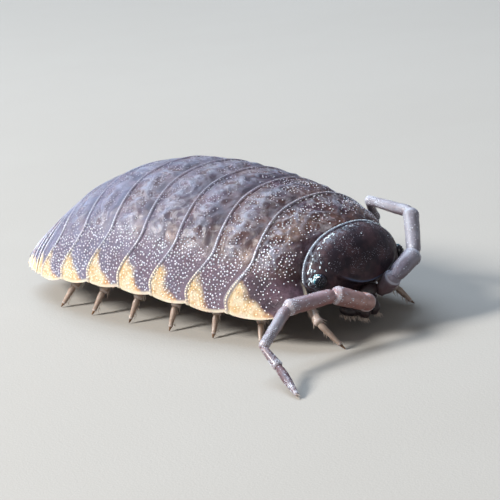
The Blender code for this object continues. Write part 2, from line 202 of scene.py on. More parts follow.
# Where the body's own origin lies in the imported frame, read from the fourth plate's rear corner.
fourth_low, fourth_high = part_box("pereonite_4")
ORIGIN = Vector((
    fourth_low.x - (PLATE_REARS[3] - PLATE_SWEEPS[3]) * MM,
    (fourth_low.y + fourth_high.y) / 2,
    0.0,
))


def smooth(value, start, end):
    """0 before start, 1 after end, and an even S between them."""
    share = min(1.0, max(0.0, (value - start) / (end - start)))
    return share * share * (3 - 2 * share)


def mix(a, b, share):
    """The value this share of the way from a to b."""
    return a + (b - a) * share


def bell(value, middle, width):
    """1 at the middle, falling evenly to nearly nothing at twice the width."""
    return math.exp(-(((value - middle) / width) ** 2))


def dome_at(x):
    """Half width, ridge height and edge height at x, read from DOME by a smooth curve."""
    x = min(max(x, DOME[-1][0]), DOME[0][0])
    last = len(DOME) - 1
    k = next(i for i in range(last) if DOME[i + 1][0] <= x)
    before, here, after, beyond = (DOME[min(max(i, 0), last)] for i in range(k - 1, k + 3))
    span = here[0] - after[0]
    t = (here[0] - x) / span
    values = []
    for column in (1, 2, 3):
        start_slope = (after[column] - before[column]) / (before[0] - after[0]) * span
        end_slope = (beyond[column] - here[column]) / (here[0] - beyond[0]) * span
        values.append(
            here[column] * (2 * t**3 - 3 * t**2 + 1) + start_slope * (t**3 - 2 * t**2 + t)
            + after[column] * (3 * t**2 - 2 * t**3) + end_slope * (t**3 - t**2)
        )
    return tuple(values)


def arch_point(x, across, lift=0.0, droop=0.0):
    """A point of the back. across runs from -1 at the right edge, over the ridge, to 1 at the left."""
    half_width, ridge, edge = dome_at(x)
    turn = across * math.pi / 2
    rise = max(math.cos(turn), 0.0) ** SHOULDER
    side = math.copysign(abs(math.sin(turn)) ** SHOULDER, across)
    flare = math.copysign(FLARE * max(0.0, 1 - rise / FLARE_FROM) ** 2, across)
    y = side * (half_width + lift) + flare
    return Vector((x, y, mix(edge, ridge + lift, rise) - droop * smooth(abs(across), 0.72, 1.0)))


def inner_edge(x):
    """Distance from the midline to the inner face of a side plate."""
    return dome_at(x)[0] + FLARE - PLATE_EDGE


def belly_z(x, side):
    """Height of the belly. side runs from -1 to 1 between the inner faces of the side plates."""
    _, ridge, edge = dome_at(x)
    return edge + min(BELLY_RISE, BELLY_SHARE * (ridge - edge)) * (1 - side**4)


def plate_edge(middle, sweep):
    """A rear edge: nearly straight over the back, bowed forward low on the side, its corner swept back."""
    def edge(across):
        bow = PLATE_BOW * smooth(abs(across), 0.15, 0.55) * smooth(abs(across), 0.9, 0.65)
        corner = 0.16 * smooth(abs(across), 0.90, 1.0) ** 2
        return middle + bow - sweep * smooth(abs(across), SWEEP_FROM, 1.0) ** 1.2 + corner
    return edge


def tail_edge(middle, sweep, ahead):
    """A rear edge of the tail. Its corners sweep back from nearer the ridge, clear of the plate ahead."""
    def edge(across):
        return min(middle - sweep * smooth(abs(across), 0.42, 0.9), ahead(across) - TAIL_SHOWN)
    return edge


def along_curve(points, share):
    """A point of a smooth curve through the points, at this share of its way."""
    last = len(points) - 1
    k = min(int(share * last), last - 1)
    t = share * last - k
    before, here, after, beyond = (Vector(points[min(max(i, 0), last)]) for i in range(k - 1, k + 3))
    return 0.5 * (
        2 * here + (after - before) * t + (2 * before - 5 * here + 4 * after - beyond) * t * t
        + (3 * here - before - 3 * after + beyond) * t**3
    )


# The first plate's front margin: round the back of the head, then out along the cheek to its lower edge.
CHEEK_START = 0.68
CHEEK_MARGIN = (
    (5.93, 2.00, 2.00), (6.16, 2.10, 1.80), (6.38, 2.30, 1.58), (6.45, 2.52, 1.41),
    (6.36, 2.72, 1.27), (6.16, 2.84, 1.19), (5.90, 2.90, 1.14),
)
COLLAR_FIT = 0.03
COLLAR_REACH = 0.62


def collar_point(across):
    """A point of the first plate's front margin."""
    reach = abs(across)
    if reach < CHEEK_START:
        turn = reach / CHEEK_START * math.pi / 2
        y = (HEAD_HALF_WIDTH + COLLAR_FIT) * math.sin(turn) ** 0.9
        z = HEAD_CENTRE_Z + (HEAD_UP + COLLAR_FIT) * max(math.cos(turn), 0.0) ** 0.95
        point = Vector((HEAD_BACK - 0.03, y, z))
    else:
        point = along_curve(CHEEK_MARGIN, (reach - CHEEK_START) / (1 - CHEEK_START))
    point.y = math.copysign(point.y, across)
    return point


def plate_surface(index):
    """The upper face of one walking plate, from the share of its length and the place across."""
    rear = plate_edge(PLATE_REARS[index], PLATE_SWEEPS[index])
    ahead = plate_edge(PLATE_REARS[index - 1], PLATE_SWEEPS[index - 1]) if index else None

    def surface(share, across, lift=0.0):
        profile = mix(-FRONT_SINK, RIM_LIFT, max(share, 0.0) ** 2.4) - max(-share, 0.0) * 0.3
        swell = (SWELL if index else FIRST_SWELL) * mix(1.0, 0.3, smooth(abs(across), 0.50, 0.72))
        swell *= mix(0.6, 1.0, smooth(abs(across), 0.05, 0.30))
        profile += swell * bell(share, 0.56, 0.19)
        droop = SCALLOP * max(0.0, math.sin(math.pi * min(max(share, 0.0), 1.0))) ** 0.8
        if index:
            return arch_point(mix(ahead(across), rear(across), share), across, profile + lift, droop)
        margin = collar_point(across)
        pull = (margin - arch_point(margin.x, across)) * max(0.0, 1 - share / COLLAR_REACH) ** 2
        return arch_point(mix(margin.x, rear(across), share), across, profile + lift, droop) + pull

    return surface


def tail_edges():
    """The rear edges from the last walking plate to the last tail plate."""
    edges = [plate_edge(PLATE_REARS[-1], PLATE_SWEEPS[-1])]
    for middle, sweep in zip(TAIL_REARS, TAIL_SWEEPS):
        edges.append(tail_edge(middle, sweep, edges[-1]))
    return edges


def tail_surface(number):
    """The upper face of one tail plate."""
    ahead, rear = tail_edges()[number:number + 2]

    def surface(share, across, lift=0.0):
        profile = mix(-FRONT_SINK, TAIL_LIFT, max(share, 0.0) ** 1.3) - max(-share, 0.0) * 0.2
        return arch_point(mix(ahead(across), rear(across), share), across, profile + lift)

    return surface


def fan_surface(low, high):
    """The upper face of a plate of the tail's end, between two places across the body.

    It slopes from under the last tail plate down to a rounded outline.
    """
    front = tail_edges()[-1]

    def surface(share, between, lift=0.0):
        near = max(share, 0.0)
        reach = mix(low(near), high(near), between)
        turn = reach * math.pi / 2
        inward = max(math.cos(turn), 0.0)
        root = arch_point(front(reach), reach, -FAN_SINK)
        end = Vector((
            mix(FAN_SIDE_X, FAN_BACK, inward**0.8), FAN_HALF_WIDTH * math.sin(turn),
            FAN_EDGE_Z + FAN_CROWN * inward,
        ))
        out = Vector((-0.45, 0.8 * math.sin(turn), 0.35 + 0.5 * inward)).normalized()
        crown = 0.03 * (1 - (2 * between - 1) ** 4)
        swell = FAN_SWELL * math.sin(math.pi * min(near, 1.0)) * inward
        return root.lerp(end, share) + out * (swell + crown + lift)

    return surface


def folds_at(point):
    """Wandering folds of the shell, about 0.5 on their crests and below 0 between them."""
    return 0.5 - 2.2 * abs(noise.noise(point * 2.3 + Vector((7, 3, 1))))


def relief(point, across):
    """How far the shell stands out of its smooth form here."""
    upper = smooth(abs(across), 0.80, 0.50)
    lumps = noise.noise(point * 5.2)
    return 0.014 * noise.noise(point * 1.3) + upper * (0.040 * folds_at(point) + 0.020 * lumps)


def first_plate_shade_highlight_tan(share, across, point):
    """How far the first plate takes painted shade in its hollows, a painted pale highlight on its crests and
    the colour of a tan lump.
    """
    reach = abs(across)
    upper = smooth(reach, 0.74, 0.58)
    crest = smooth(folds_at(point) + 0.4 * noise.noise(point * 6), 0.05, 0.5)
    hollow = bell(share, 0.10, 0.16) * smooth(reach, 0.05, 0.3) * smooth(reach, 0.78, 0.66)
    # Painted shade also in the groove in front of the rear rim.
    hollow = max(hollow, 0.8 * bell(share, 0.90, 0.05) * upper)
    tan = upper * bell(share, 0.46, 0.20) * bell(reach, 0.36, 0.17) * smooth(folds_at(point), -0.5, 0.2)
    return hollow, upper * crest * bell(share, 0.62, 0.30), tan


def later_plate_shade_highlight_tan(share, across, point):
    """The same for the plates behind it: painted shade in the hollow behind the rim ahead, then a painted
    highlight on a crest, a tan mark low down.
    """
    reach = abs(across)
    upper = smooth(reach, 0.74, 0.60)
    crest = smooth(folds_at(point) + 0.5 * noise.noise(point * 6), -0.35, 0.45)
    hollow = upper * bell(share, 0.20, 0.15) * smooth(noise.noise(point * 1.7), -0.45, 0.15)
    tan = bell(share, 0.26, 0.16) * bell(reach, 0.63, 0.05)
    return hollow, upper * crest * bell(share, 0.58, 0.20), tan


def plain_tone(share, across, point):
    """The same for a plate with none of them."""
    return 0.0, 0.0, 0.0


def rim_profile(distance):
    """Height of the rear rim: a bead along the edge and a groove in front of it."""
    bead = RIM_HEIGHT * math.sqrt(max(0.0, 1 - (2 * distance / RIM_WIDTH - 1) ** 2))
    groove = GROOVE_DEPTH * bell(distance, RIM_WIDTH + 0.03, 0.03)
    return bead - groove


def slab(faces, outer, inner, length, tuck, patch_start, shade_highlight_tan=plain_tone):
    """A thin curved plate: a flat grid, extruded once, whose two faces are then put in place."""
    bm = bmesh.new()
    bmesh.ops.create_grid(bm, x_segments=faces[0], y_segments=faces[1], size=1.0)
    grown = bmesh.ops.extrude_face_region(bm, geom=bm.faces[:])
    under = {vert for vert in grown["geom"] if isinstance(vert, bmesh.types.BMVert)}
    place = bm.verts.layers.float_vector.new("place")
    shade_highlight_tan_layer = bm.verts.layers.float_vector.new("shade_highlight_tan")
    front = -tuck / length
    rim_start = 1 - RIM_ZONE / length
    for vert in bm.verts:
        row, across = (1 - vert.co.x) / 2, vert.co.y
        if row < 1 - RIM_ROWS:
            share = mix(front, rim_start, row / (1 - RIM_ROWS))
        else:
            share = mix(rim_start, 1.0, (row - 1 + RIM_ROWS) / RIM_ROWS)
        if vert in under:
            vert[place] = (0.5, UNDERSIDE_REACH, patch_start)
            vert.co = inner(share, across)
        else:
            vert.co = outer(share, across)
            vert[place] = (max(share, 0.05) if tuck else share, across, patch_start)
            vert[shade_highlight_tan_layer] = shade_highlight_tan(share, across, vert.co)
    bmesh.ops.recalc_face_normals(bm, faces=bm.faces)
    return bm


def plate_body(surface, length, faces, patch_start, shade_highlight_tan, tuck=TUCK, rim=1.0):
    """The shell of one plate. A plate that has nothing ahead to tuck under gets a round nose there."""
    half = SHELL_THICKNESS / 2

    def nose(share):
        if tuck:
            return 0.0
        from_edge = min(share * length, half)
        return half - math.sqrt(half**2 - (half - from_edge) ** 2)

    def outer(share, across):
        smooth_point = surface(share, across)
        shown = smooth(share, -0.05, 0.12)
        distance = (1 - share) * length
        uneven = shown * relief(smooth_point, across) * smooth(distance, 0.08, 0.25)
        return surface(share, across, rim * rim_profile(distance) + uneven - nose(share))

    def inner(share, across):
        return surface(share, across, nose(share) - SHELL_THICKNESS)

    return slab(faces, outer, inner, length, tuck, patch_start, shade_highlight_tan)


def arrays_of(bm):
    """A bmesh as arrays: points, faces, and the place and the painted shade, painted highlight and tan of
    each point. The bmesh is freed.
    """
    bm.verts.index_update()
    points = np.array([vert.co[:] for vert in bm.verts])
    faces = [[vert.index for vert in face.verts] for face in bm.faces]
    marks = np.zeros((len(points), 6))
    for k, name in enumerate(("place", "shade_highlight_tan")):
        layer = bm.verts.layers.float_vector.get(name)
        if layer is not None:
            marks[:, 3 * k:3 * k + 3] = [vert[layer][:] for vert in bm.verts]
    bm.free()
    return points, faces, marks


def repeated(shape, frames, places):
    """Copies of a small shape, one in each frame, joined as arrays."""
    points, faces, _ = shape
    count = len(points)
    turns = np.array([[list(row) for row in matrix] for matrix in frames])
    spread = np.einsum("nij,pj->npi", turns[:, :3, :3], points) + turns[:, None, :3, 3]
    all_faces = [[corner + k * count for corner in face] for k in range(len(frames)) for face in faces]
    marks = np.zeros((len(frames) * count, 6))
    marks[:, :3] = np.repeat(np.array(places, float), count, axis=0)
    return spread.reshape(-1, 3), all_faces, marks


def piece(name, sources, nodes, sharp=40.0):
    """Joins the sources, each arrays and a material, into one object that stands for the named nodes."""
    points, faces, marks, indices, finishes = [], [], [], [], []
    start = 0
    for (own_points, own_faces, own_marks), finish in sources:
        if finish not in finishes:
            finishes.append(finish)
        points.append(own_points)
        marks.append(own_marks)
        faces += [[corner + start for corner in face] for face in own_faces]
        indices += [finishes.index(finish)] * len(own_faces)
        start += len(own_points)
    mesh = bpy.data.meshes.new(name)
    mesh.from_pydata(np.concatenate(points) * MM + np.array(ORIGIN), [], faces)
    marks = np.concatenate(marks)
    for k, label in enumerate(("place", "shade_highlight_tan")):
        attribute = mesh.attributes.new(label, "FLOAT_VECTOR", "POINT")
        attribute.data.foreach_set("vector", marks[:, 3 * k:3 * k + 3].ravel())
    mesh.polygons.foreach_set("material_index", indices)
    for finish in finishes:
        mesh.materials.append(finish)
    mesh.shade_smooth()
    mesh.set_sharp_from_angle(angle=math.radians(sharp))
    item = bpy.data.objects.new(name, mesh)
    bpy.context.scene.collection.objects.link(item)
    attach(item, "root")
    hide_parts(*nodes)
    return item


FRAME_STEP = 0.004
CORE_Z = 1.2  # a height inside the body, to tell out from in


def surface_frame(point_at, share, across, sink=0.0):
    """A frame on a surface: X along the body, Z straight out."""
    step = FRAME_STEP
    here = point_at(share, across)
    along = point_at(share + step, across) - point_at(share - step, across)
    side = point_at(share, across + step) - point_at(share, across - step)
    out = side.cross(along).normalized()
    if out.dot(here - Vector((here.x, 0, CORE_Z))) < 0:
        out = -out
    along.normalize()
    side = out.cross(along)
    turn = Matrix((along, side, out)).transposed().to_4x4()
    return Matrix.Translation(here - out * sink) @ turn


def small_ball(subdivisions=1):
    """A ball of unit radius."""
    bm = bmesh.new()
    bmesh.ops.create_icosphere(bm, subdivisions=subdivisions, radius=1.0)
    return arrays_of(bm)


def small_cone(sides=5):
    """A spine of unit length that stands on the origin along Z."""
    bm = bmesh.new()
    bmesh.ops.create_cone(bm, cap_ends=True, segments=sides, radius1=1.0, radius2=0.12, depth=1.0)
    bmesh.ops.translate(bm, vec=(0, 0, 0.5), verts=bm.verts)
    return arrays_of(bm)


def crowded(spot, taken, gap):
    """Whether a spot lies within the gap of one taken before. If not, it is taken."""
    cell = tuple(math.floor(part / gap) for part in spot)
    for step in itertools.product((-1, 0, 1), repeat=3):
        for other in taken.get(tuple(a + b for a, b in zip(cell, step)), ()):
            if (other - spot).length < gap:
                return True
    taken.setdefault(cell, []).append(spot)
    return False


def granules(surface, length, girth, spacing, seed, wanted, patch_start):
    """Frames and places of granules in loose rows. wanted gives the odds and the size at a place."""
    draw = random.Random(seed)
    rows = max(2, round(length / spacing))
    columns = round(girth / spacing)
    frames, places, taken = [], [], {}
    for row in range(rows):
        for column in range(columns):
            share = (row + 0.5 + draw.uniform(-0.45, 0.45)) / rows
            across = -1 + 2 * (column + 0.5 * (row % 2) + 0.25 + draw.uniform(-0.45, 0.45)) / columns
            chance, size = draw.random(), draw.uniform(0.75, 1.25)
            if abs(across) > GRANULES_REACH or (1 - share) * length < RIM_WIDTH:
                continue
            spot = surface(share, across)
            odds, radius = wanted(share, across, spot)
            if chance > odds or crowded(spot, taken, LEAST_GAP * spacing):
                continue
            radius *= size
            frame_here = surface_frame(surface, share, across, 0.15 * radius)
            scale = Matrix.Diagonal((radius, radius, radius * 0.75, 1.0))
            frames.append(frame_here @ scale)
            places.append((share, across, patch_start))
    return frames, places


def rim_beads(surface, length, spacing, seed, patch_start):
    """Small beads along the rear rim."""
    draw = random.Random(seed)
    count = round(BACK_GIRTH / spacing)
    frames, places = [], []
    for k in range(count):
        across = -0.98 + 1.96 * (k + draw.uniform(-0.2, 0.2)) / count
        radius = mix(0.020, 0.032, smooth(abs(across), 0.30, 0.60)) * draw.uniform(0.8, 1.2)
        share = 1 - 0.5 * RIM_WIDTH / length
        frame_here = surface_frame(lambda s, a: surface(s, a, RIM_HEIGHT), share, across, 0.4 * radius)
        frames.append(frame_here @ Matrix.Diagonal((radius, radius * 1.25, radius * 0.8, 1.0)))
        places.append((share, across, patch_start))
    return frames, places


def first_plate_granules(share, across, point):
    """Odds and radius of a granule on the first plate: bands behind the head, thin on the cheek."""
    reach = abs(across)
    cluster = noise.noise(point * 1.5 + Vector((3, 9, 4)))
    if reach > 0.76:
        return 0.7 * smooth(share, 0.22, 0.5), 0.026
    crowd = bell(reach, 0.60, 0.14) * smooth(share, 0.3, 0.7)
    return smooth(share, 0.05, 0.2) * (0.62 + 1.1 * cluster + 0.7 * crowd), mix(0.025, 0.032, crowd)


def later_plate_granules(share, across, point):
    """Odds and radius on the plates behind it: close set low down, in a band near the rear over the back."""
    reach = abs(across)
    cluster = noise.noise(point * 1.5 + Vector((3, 9, 4)))
    low = smooth(reach, 0.60, 0.72)
    over_back = smooth(share, 0.22, 0.5) * (0.75 + 0.9 * cluster)
    return mix(over_back, smooth(share, 0.14, 0.24), low), mix(0.023, 0.034, low)


def tail_granules(share, across, point):
    """Odds and radius on the tail: even and small."""
    return 0.7 + 0.5 * noise.noise(point * 1.5), 0.026


def add(tree, kind, sockets=None, **settings):
    """A new node. Each socket is filled from a value or from another node's output."""
    node = tree.nodes.new(kind)
    for name, value in settings.items():
        setattr(node, name, value)
    for name, value in (sockets or {}).items():
        socket = node.inputs[name]
        if isinstance(value, bpy.types.NodeSocket):
            tree.links.new(value, socket)
        else:
            socket.default_value = value
    return node


def colour_mix(tree, factor, first, second):
    """The first colour, turned into the second as the factor rises."""
    node = tree.nodes.new("ShaderNodeMix")
    node.data_type = "RGBA"
    for index, value in ((0, factor), (6, first), (7, second)):
        if isinstance(value, bpy.types.NodeSocket):
            tree.links.new(value, node.inputs[index])
        elif index:
            node.inputs[index].default_value = (*value, 1.0)
        else:
            node.inputs[index].default_value = value
    return node.outputs[2]


def math_node(tree, operation, first, second=0.0, clamp=False):
    """The outcome of a sum on sockets or values."""
    node = add(tree, "ShaderNodeMath", {0: first, 1: second}, operation=operation, use_clamp=clamp)
    return node.outputs[0]


def product(tree, first, second):
    return math_node(tree, "MULTIPLY", first, second)


def ramp(tree, value, start, end, low=0.0, high=1.0):
    """Low while the value is before start, high once it is past end, and an even S between them."""
    node = add(
        tree, "ShaderNodeMapRange",
        {"Value": value, "From Min": start, "From Max": end, "To Min": low, "To Max": high},
        interpolation_type="SMOOTHSTEP",
    )
    return node.outputs["Result"]


def noise_at(tree, vector, per_mm, detail=3.0, roughness=0.55):
    """Noise with this many lumps to a millimetre."""
    node = add(
        tree, "ShaderNodeTexNoise",
        {"Vector": vector, "Scale": per_mm / MM, "Detail": detail, "Roughness": roughness},
    )
    return node.outputs["Fac"]


def object_place(tree):
    return add(tree, "ShaderNodeTexCoord").outputs["Object"]


def attribute_vector(tree, name):
    return add(tree, "ShaderNodeAttribute", attribute_name=name).outputs["Vector"]


def plate_place(tree):
    """The parts of "place": share of a plate's length, distance from the ridge, start of its patch.

    Other pieces keep what their own finish reads there.
    """
    parts = add(tree, "ShaderNodeSeparateXYZ", {0: attribute_vector(tree, "place")})
    return parts.outputs["X"], math_node(tree, "ABSOLUTE", parts.outputs["Y"]), parts.outputs["Z"]


def group(name, inputs, outputs):
    """An empty shader node group with its sockets, its tree's inputs node and its outputs node."""
    tree = bpy.data.node_groups.new(name, "ShaderNodeTree")
    for label, kind, value in inputs:
        socket = tree.interface.new_socket(label, in_out="INPUT", socket_type=kind)
        if value is not None:
            socket.default_value = value
    for label, kind in outputs:
        tree.interface.new_socket(label, in_out="OUTPUT", socket_type=kind)
    return tree, tree.nodes.new("NodeGroupInput"), tree.nodes.new("NodeGroupOutput")


def worm_marks_group():
    """Short wandering streaks, as on weathered chitin."""
    tree, given, made = group(
        "worm marks",
        (
            ("Vector", "NodeSocketVector", None), ("Size", "NodeSocketFloat", 0.3),
            ("Width", "NodeSocketFloat", 0.1),
        ),
        (("Mask", "NodeSocketFloat"),),
    )
    scale = math_node(tree, "DIVIDE", 1 / MM, given.outputs["Size"])
    field = add(
        tree, "ShaderNodeTexNoise",
        {
            "Vector": given.outputs["Vector"], "Scale": scale, "Detail": 2.5, "Roughness": 0.5,
            "Distortion": 0.6,
        },
    ).outputs["Fac"]
    middle = math_node(tree, "ABSOLUTE", math_node(tree, "SUBTRACT", field, 0.5))
    tree.links.new(ramp(tree, middle, given.outputs["Width"], 0.0), made.inputs["Mask"])
    return tree


def film_and_sheen_group():
    """A pale dusty film over a colour, thicker in patches; on the shell it also serves as a painted bluish
    sheen.
    """
    tree, given, made = group(
        "film_and_sheen",
        (
            ("Colour", "NodeSocketColor", (0.1, 0.1, 0.1, 1.0)),
            ("Film", "NodeSocketColor", (0.5, 0.5, 0.6, 1.0)),
            ("Amount", "NodeSocketFloat", 0.3), ("Vector", "NodeSocketVector", None),
        ),
        (("Colour", "NodeSocketColor"),),
    )
    patches = noise_at(tree, given.outputs["Vector"], 1.1, 4.0)
    patchy = ramp(tree, patches, 0.25, 0.75, 0.35, 1.0)
    factor = math_node(tree, "MULTIPLY", patchy, given.outputs["Amount"], clamp=True)
    colour = colour_mix(tree, factor, given.outputs["Colour"], given.outputs["Film"])
    tree.links.new(colour, made.inputs["Colour"])
    return tree


def chitin_grain_group():
    """Fine unevenness of a shell's surface, as a height for a Bump node."""
    tree, given, made = group(
        "chitin grain",
        (("Vector", "NodeSocketVector", None), ("Cells", "NodeSocketFloat", 20.0)),
        (("Height", "NodeSocketFloat"),),
    )
    scale = product(tree, given.outputs["Cells"], 1 / MM)
    cells = add(
        tree, "ShaderNodeTexVoronoi", {"Vector": given.outputs["Vector"], "Scale": scale},
        feature="SMOOTH_F1",
    ).outputs["Distance"]
    dust = noise_at(tree, given.outputs["Vector"], 9.0, 4.0)
    height = math_node(tree, "ADD", product(tree, cells, 0.5), dust)
    tree.links.new(height, made.inputs["Height"])
    return tree


def placed_group(tree, kind, sockets):
    """A group set in a material's tree. Each socket is filled from a value or another node's output."""
    node = tree.nodes.new("ShaderNodeGroup")
    node.node_tree = kind
    for name, value in sockets.items():
        if isinstance(value, bpy.types.NodeSocket):
            tree.links.new(value, node.inputs[name])
        elif isinstance(value, tuple):
            node.inputs[name].default_value = (*value, 1.0)
        else:
            node.inputs[name].default_value = value
    return node


def material(name):
    """A new material, its tree and its main shader."""
    made = bpy.data.materials.new(name)
    made.use_nodes = True
    tree = made.node_tree
    return made, tree, tree.nodes["Principled BSDF"]


def grained(tree, shader, where, cells, strength):
    """Gives a finish the fine unevenness of chitin, with this many cells to a millimetre."""
    grain = placed_group(tree, CHITIN_GRAIN, {"Vector": where, "Cells": cells}).outputs["Height"]
    bump = add(tree, "ShaderNodeBump", {"Height": grain, "Strength": strength, "Distance": GRAIN_HEIGHT})
    tree.links.new(bump.outputs["Normal"], shader.inputs["Normal"])


def uneven_roughness(tree, shader, where, per_mm, detail, low, high):
    """Lets a finish wander between two roughnesses."""
    rough = ramp(tree, noise_at(tree, where, per_mm, detail), 0.3, 0.7, low, high)
    tree.links.new(rough, shader.inputs["Roughness"])


def let_light_in(shader, weight, depth):
    """Lets light sink in to a small depth, as chitin and soft skin do."""
    shader.inputs["Subsurface Weight"].default_value = weight
    shader.inputs["Subsurface Scale"].default_value = depth


GRAIN_HEIGHT = 0.02 * MM
GLOW_DEPTH = 0.15 * MM
GRANULE_GLOW_DEPTH = 0.05 * MM
WORM_MARKS = worm_marks_group()
FILM_AND_SHEEN = film_and_sheen_group()
CHITIN_GRAIN = chitin_grain_group()

SHELL_DARK = (0.050, 0.022, 0.034)
SHELL_PURPLE = (0.165, 0.090, 0.125)
SHELL_BROWN = (0.150, 0.066, 0.048)
FLANK_PINK = (0.30, 0.21, 0.26)
# Painted shade for the hollows and a painted pale highlight for the crests.
HOLLOW_SHADE_BROWN = (0.040, 0.014, 0.016)
CREST_HIGHLIGHT_LILAC = (0.42, 0.43, 0.52)
LUMP_TAN = (0.44, 0.29, 0.21)
STREAK_PALE = (0.44, 0.38, 0.38)
PATCH_YELLOW = (0.82, 0.58, 0.30)
PATCH_CREAM = (0.92, 0.80, 0.60)
PATCH_ORANGE = (0.80, 0.38, 0.10)
EDGE_CREAM = (0.92, 0.82, 0.66)
RIM_PALE = (0.40, 0.39, 0.48)
# Partly the colour of a dusty coat, partly a painted bluish sheen.
FILM_AND_SHEEN_BLUE = (0.33, 0.37, 0.54)
GRAIN_LILAC = (0.56, 0.52, 0.58)
GRAIN_WHITE = (0.82, 0.86, 0.92)
GRAIN_DULL = (0.36, 0.36, 0.46)


def patch_group():
    """The yellow patch of a side plate. It starts low down and climbs towards the plate's rear edge."""
    tree, given, made = group(
        "patch",
        (
            ("Vector", "NodeSocketVector", None), ("Share", "NodeSocketFloat", 0.0),
            ("Reach", "NodeSocketFloat", 0.0), ("Start", "NodeSocketFloat", 0.3),
        ),
        (("Mask", "NodeSocketFloat"), ("Orange", "NodeSocketFloat")),
    )
    waver = math_node(tree, "SUBTRACT", noise_at(tree, given.outputs["Vector"], 1.6, 4.0), 0.5)
    past = math_node(tree, "SUBTRACT", given.outputs["Share"], given.outputs["Start"])
    room = math_node(tree, "SUBTRACT", 1.0, given.outputs["Start"])
    climb = math_node(tree, "DIVIDE", past, room)
    height = math_node(tree, "ADD", given.outputs["Reach"], product(tree, climb, 0.20))
    height = math_node(tree, "ADD", height, product(tree, waver, 0.16))
    low = ramp(tree, height, 0.975, 1.04)
    begun = ramp(tree, math_node(tree, "ADD", climb, product(tree, waver, 0.3)), 0.0, 0.14)
    tree.links.new(product(tree, low, begun), made.inputs["Mask"])
    orange = ramp(tree, math_node(tree, "ADD", climb, waver), 0.50, 0.05, 0.0, 0.9)
    tree.links.new(orange, made.inputs["Orange"])
    return tree


PATCH = patch_group()


def shell_material():
    """Dark mottled chitin, marbled brown over the back, with painted shade in its hollows and a painted
    highlight on its crests, under a pale film that thickens to the rear: partly a real dusty coat, partly a
    painted bluish sheen.
    """
    made, tree, shader = material("shell")
    where = object_place(tree)
    share, reach, start = plate_place(tree)
    mottle = ramp(tree, noise_at(tree, where, 1.6, 5.0, 0.6), 0.38, 0.66)
    colour = colour_mix(tree, mottle, SHELL_DARK, SHELL_PURPLE)
    along = add(tree, "ShaderNodeSeparateXYZ", {0: where}).outputs["X"]
    behind_first = ramp(tree, along, 4.6 * MM, 2.8 * MM, 0.0, 0.6)
    flank = product(tree, ramp(tree, reach, 0.62, 0.74), behind_first)
    colour = colour_mix(tree, flank, colour, FLANK_PINK)
    upper = ramp(tree, reach, 0.80, 0.60)
    brown = product(tree, upper, ramp(tree, noise_at(tree, where, 1.0, 3.0), 0.40, 0.56))
    colour = colour_mix(tree, brown, colour, SHELL_BROWN)
    streaks = placed_group(tree, WORM_MARKS, {"Vector": where, "Size": 0.45, "Width": 0.07}).outputs["Mask"]
    streaks = product(tree, streaks, ramp(tree, noise_at(tree, where, 0.9, 2.0), 0.42, 0.60))
    streaks = product(tree, streaks, ramp(tree, reach, 0.74, 0.60, 0.0, 0.85))
    colour = colour_mix(tree, streaks, colour, STREAK_PALE)
    # Painted shade (X) in the hollows and a painted pale highlight (Y) on the crests; the tan lumps (Z) are
    # the shell's own colour.
    shade_highlight_tan = add(tree, "ShaderNodeSeparateXYZ", {0: attribute_vector(tree, "shade_highlight_tan")})
    grit = ramp(tree, noise_at(tree, where, 5.0, 4.0, 0.7), 0.30, 0.62, 0.25, 1.0)
    for output, mark in (("Z", LUMP_TAN), ("Y", CREST_HIGHLIGHT_LILAC)):
        colour = colour_mix(tree, product(tree, shade_highlight_tan.outputs[output], grit), colour, mark)
    colour = colour_mix(tree, product(tree, shade_highlight_tan.outputs["X"], 0.9), colour, HOLLOW_SHADE_BROWN)
    # The film thickens to the rear: partly a real dusty coat, partly a painted bluish sheen.
    amount = ramp(tree, along, 5.0 * MM, -6.0 * MM, 0.05, 0.80)
    colour = placed_group(
        tree, FILM_AND_SHEEN, {"Colour": colour, "Film": FILM_AND_SHEEN_BLUE, "Amount": amount, "Vector": where},
    ).outputs["Colour"]
    patch = placed_group(tree, PATCH, {"Vector": where, "Share": share, "Reach": reach, "Start": start})
    curd = ramp(tree, noise_at(tree, where, 3.5, 4.0, 0.65), 0.36, 0.64)
    patch_colour = colour_mix(tree, curd, PATCH_YELLOW, PATCH_CREAM)
    patch_colour = colour_mix(tree, patch.outputs["Orange"], patch_colour, PATCH_ORANGE)
    colour = colour_mix(tree, patch.outputs["Mask"], colour, patch_colour)
    rim = product(tree, ramp(tree, share, 0.93, 0.95), ramp(tree, reach, 0.3, 0.7, 0.35, 0.8))
    colour = colour_mix(tree, rim, colour, RIM_PALE)
    margin = product(tree, ramp(tree, share, 0.035, 0.01), ramp(tree, reach, 0.66, 0.74, 0.0, 0.8))
    cream = math_node(tree, "MAXIMUM", ramp(tree, reach, 0.980, 0.994, 0.0, 0.85), margin)
    colour = colour_mix(tree, cream, colour, EDGE_CREAM)
    tree.links.new(colour, shader.inputs["Base Color"])
    uneven_roughness(tree, shader, where, 4.0, 3.0, 0.32, 0.50)
    let_light_in(shader, 0.12, GLOW_DEPTH)
    grained(tree, shader, where, 18.0, 0.55)
    return made


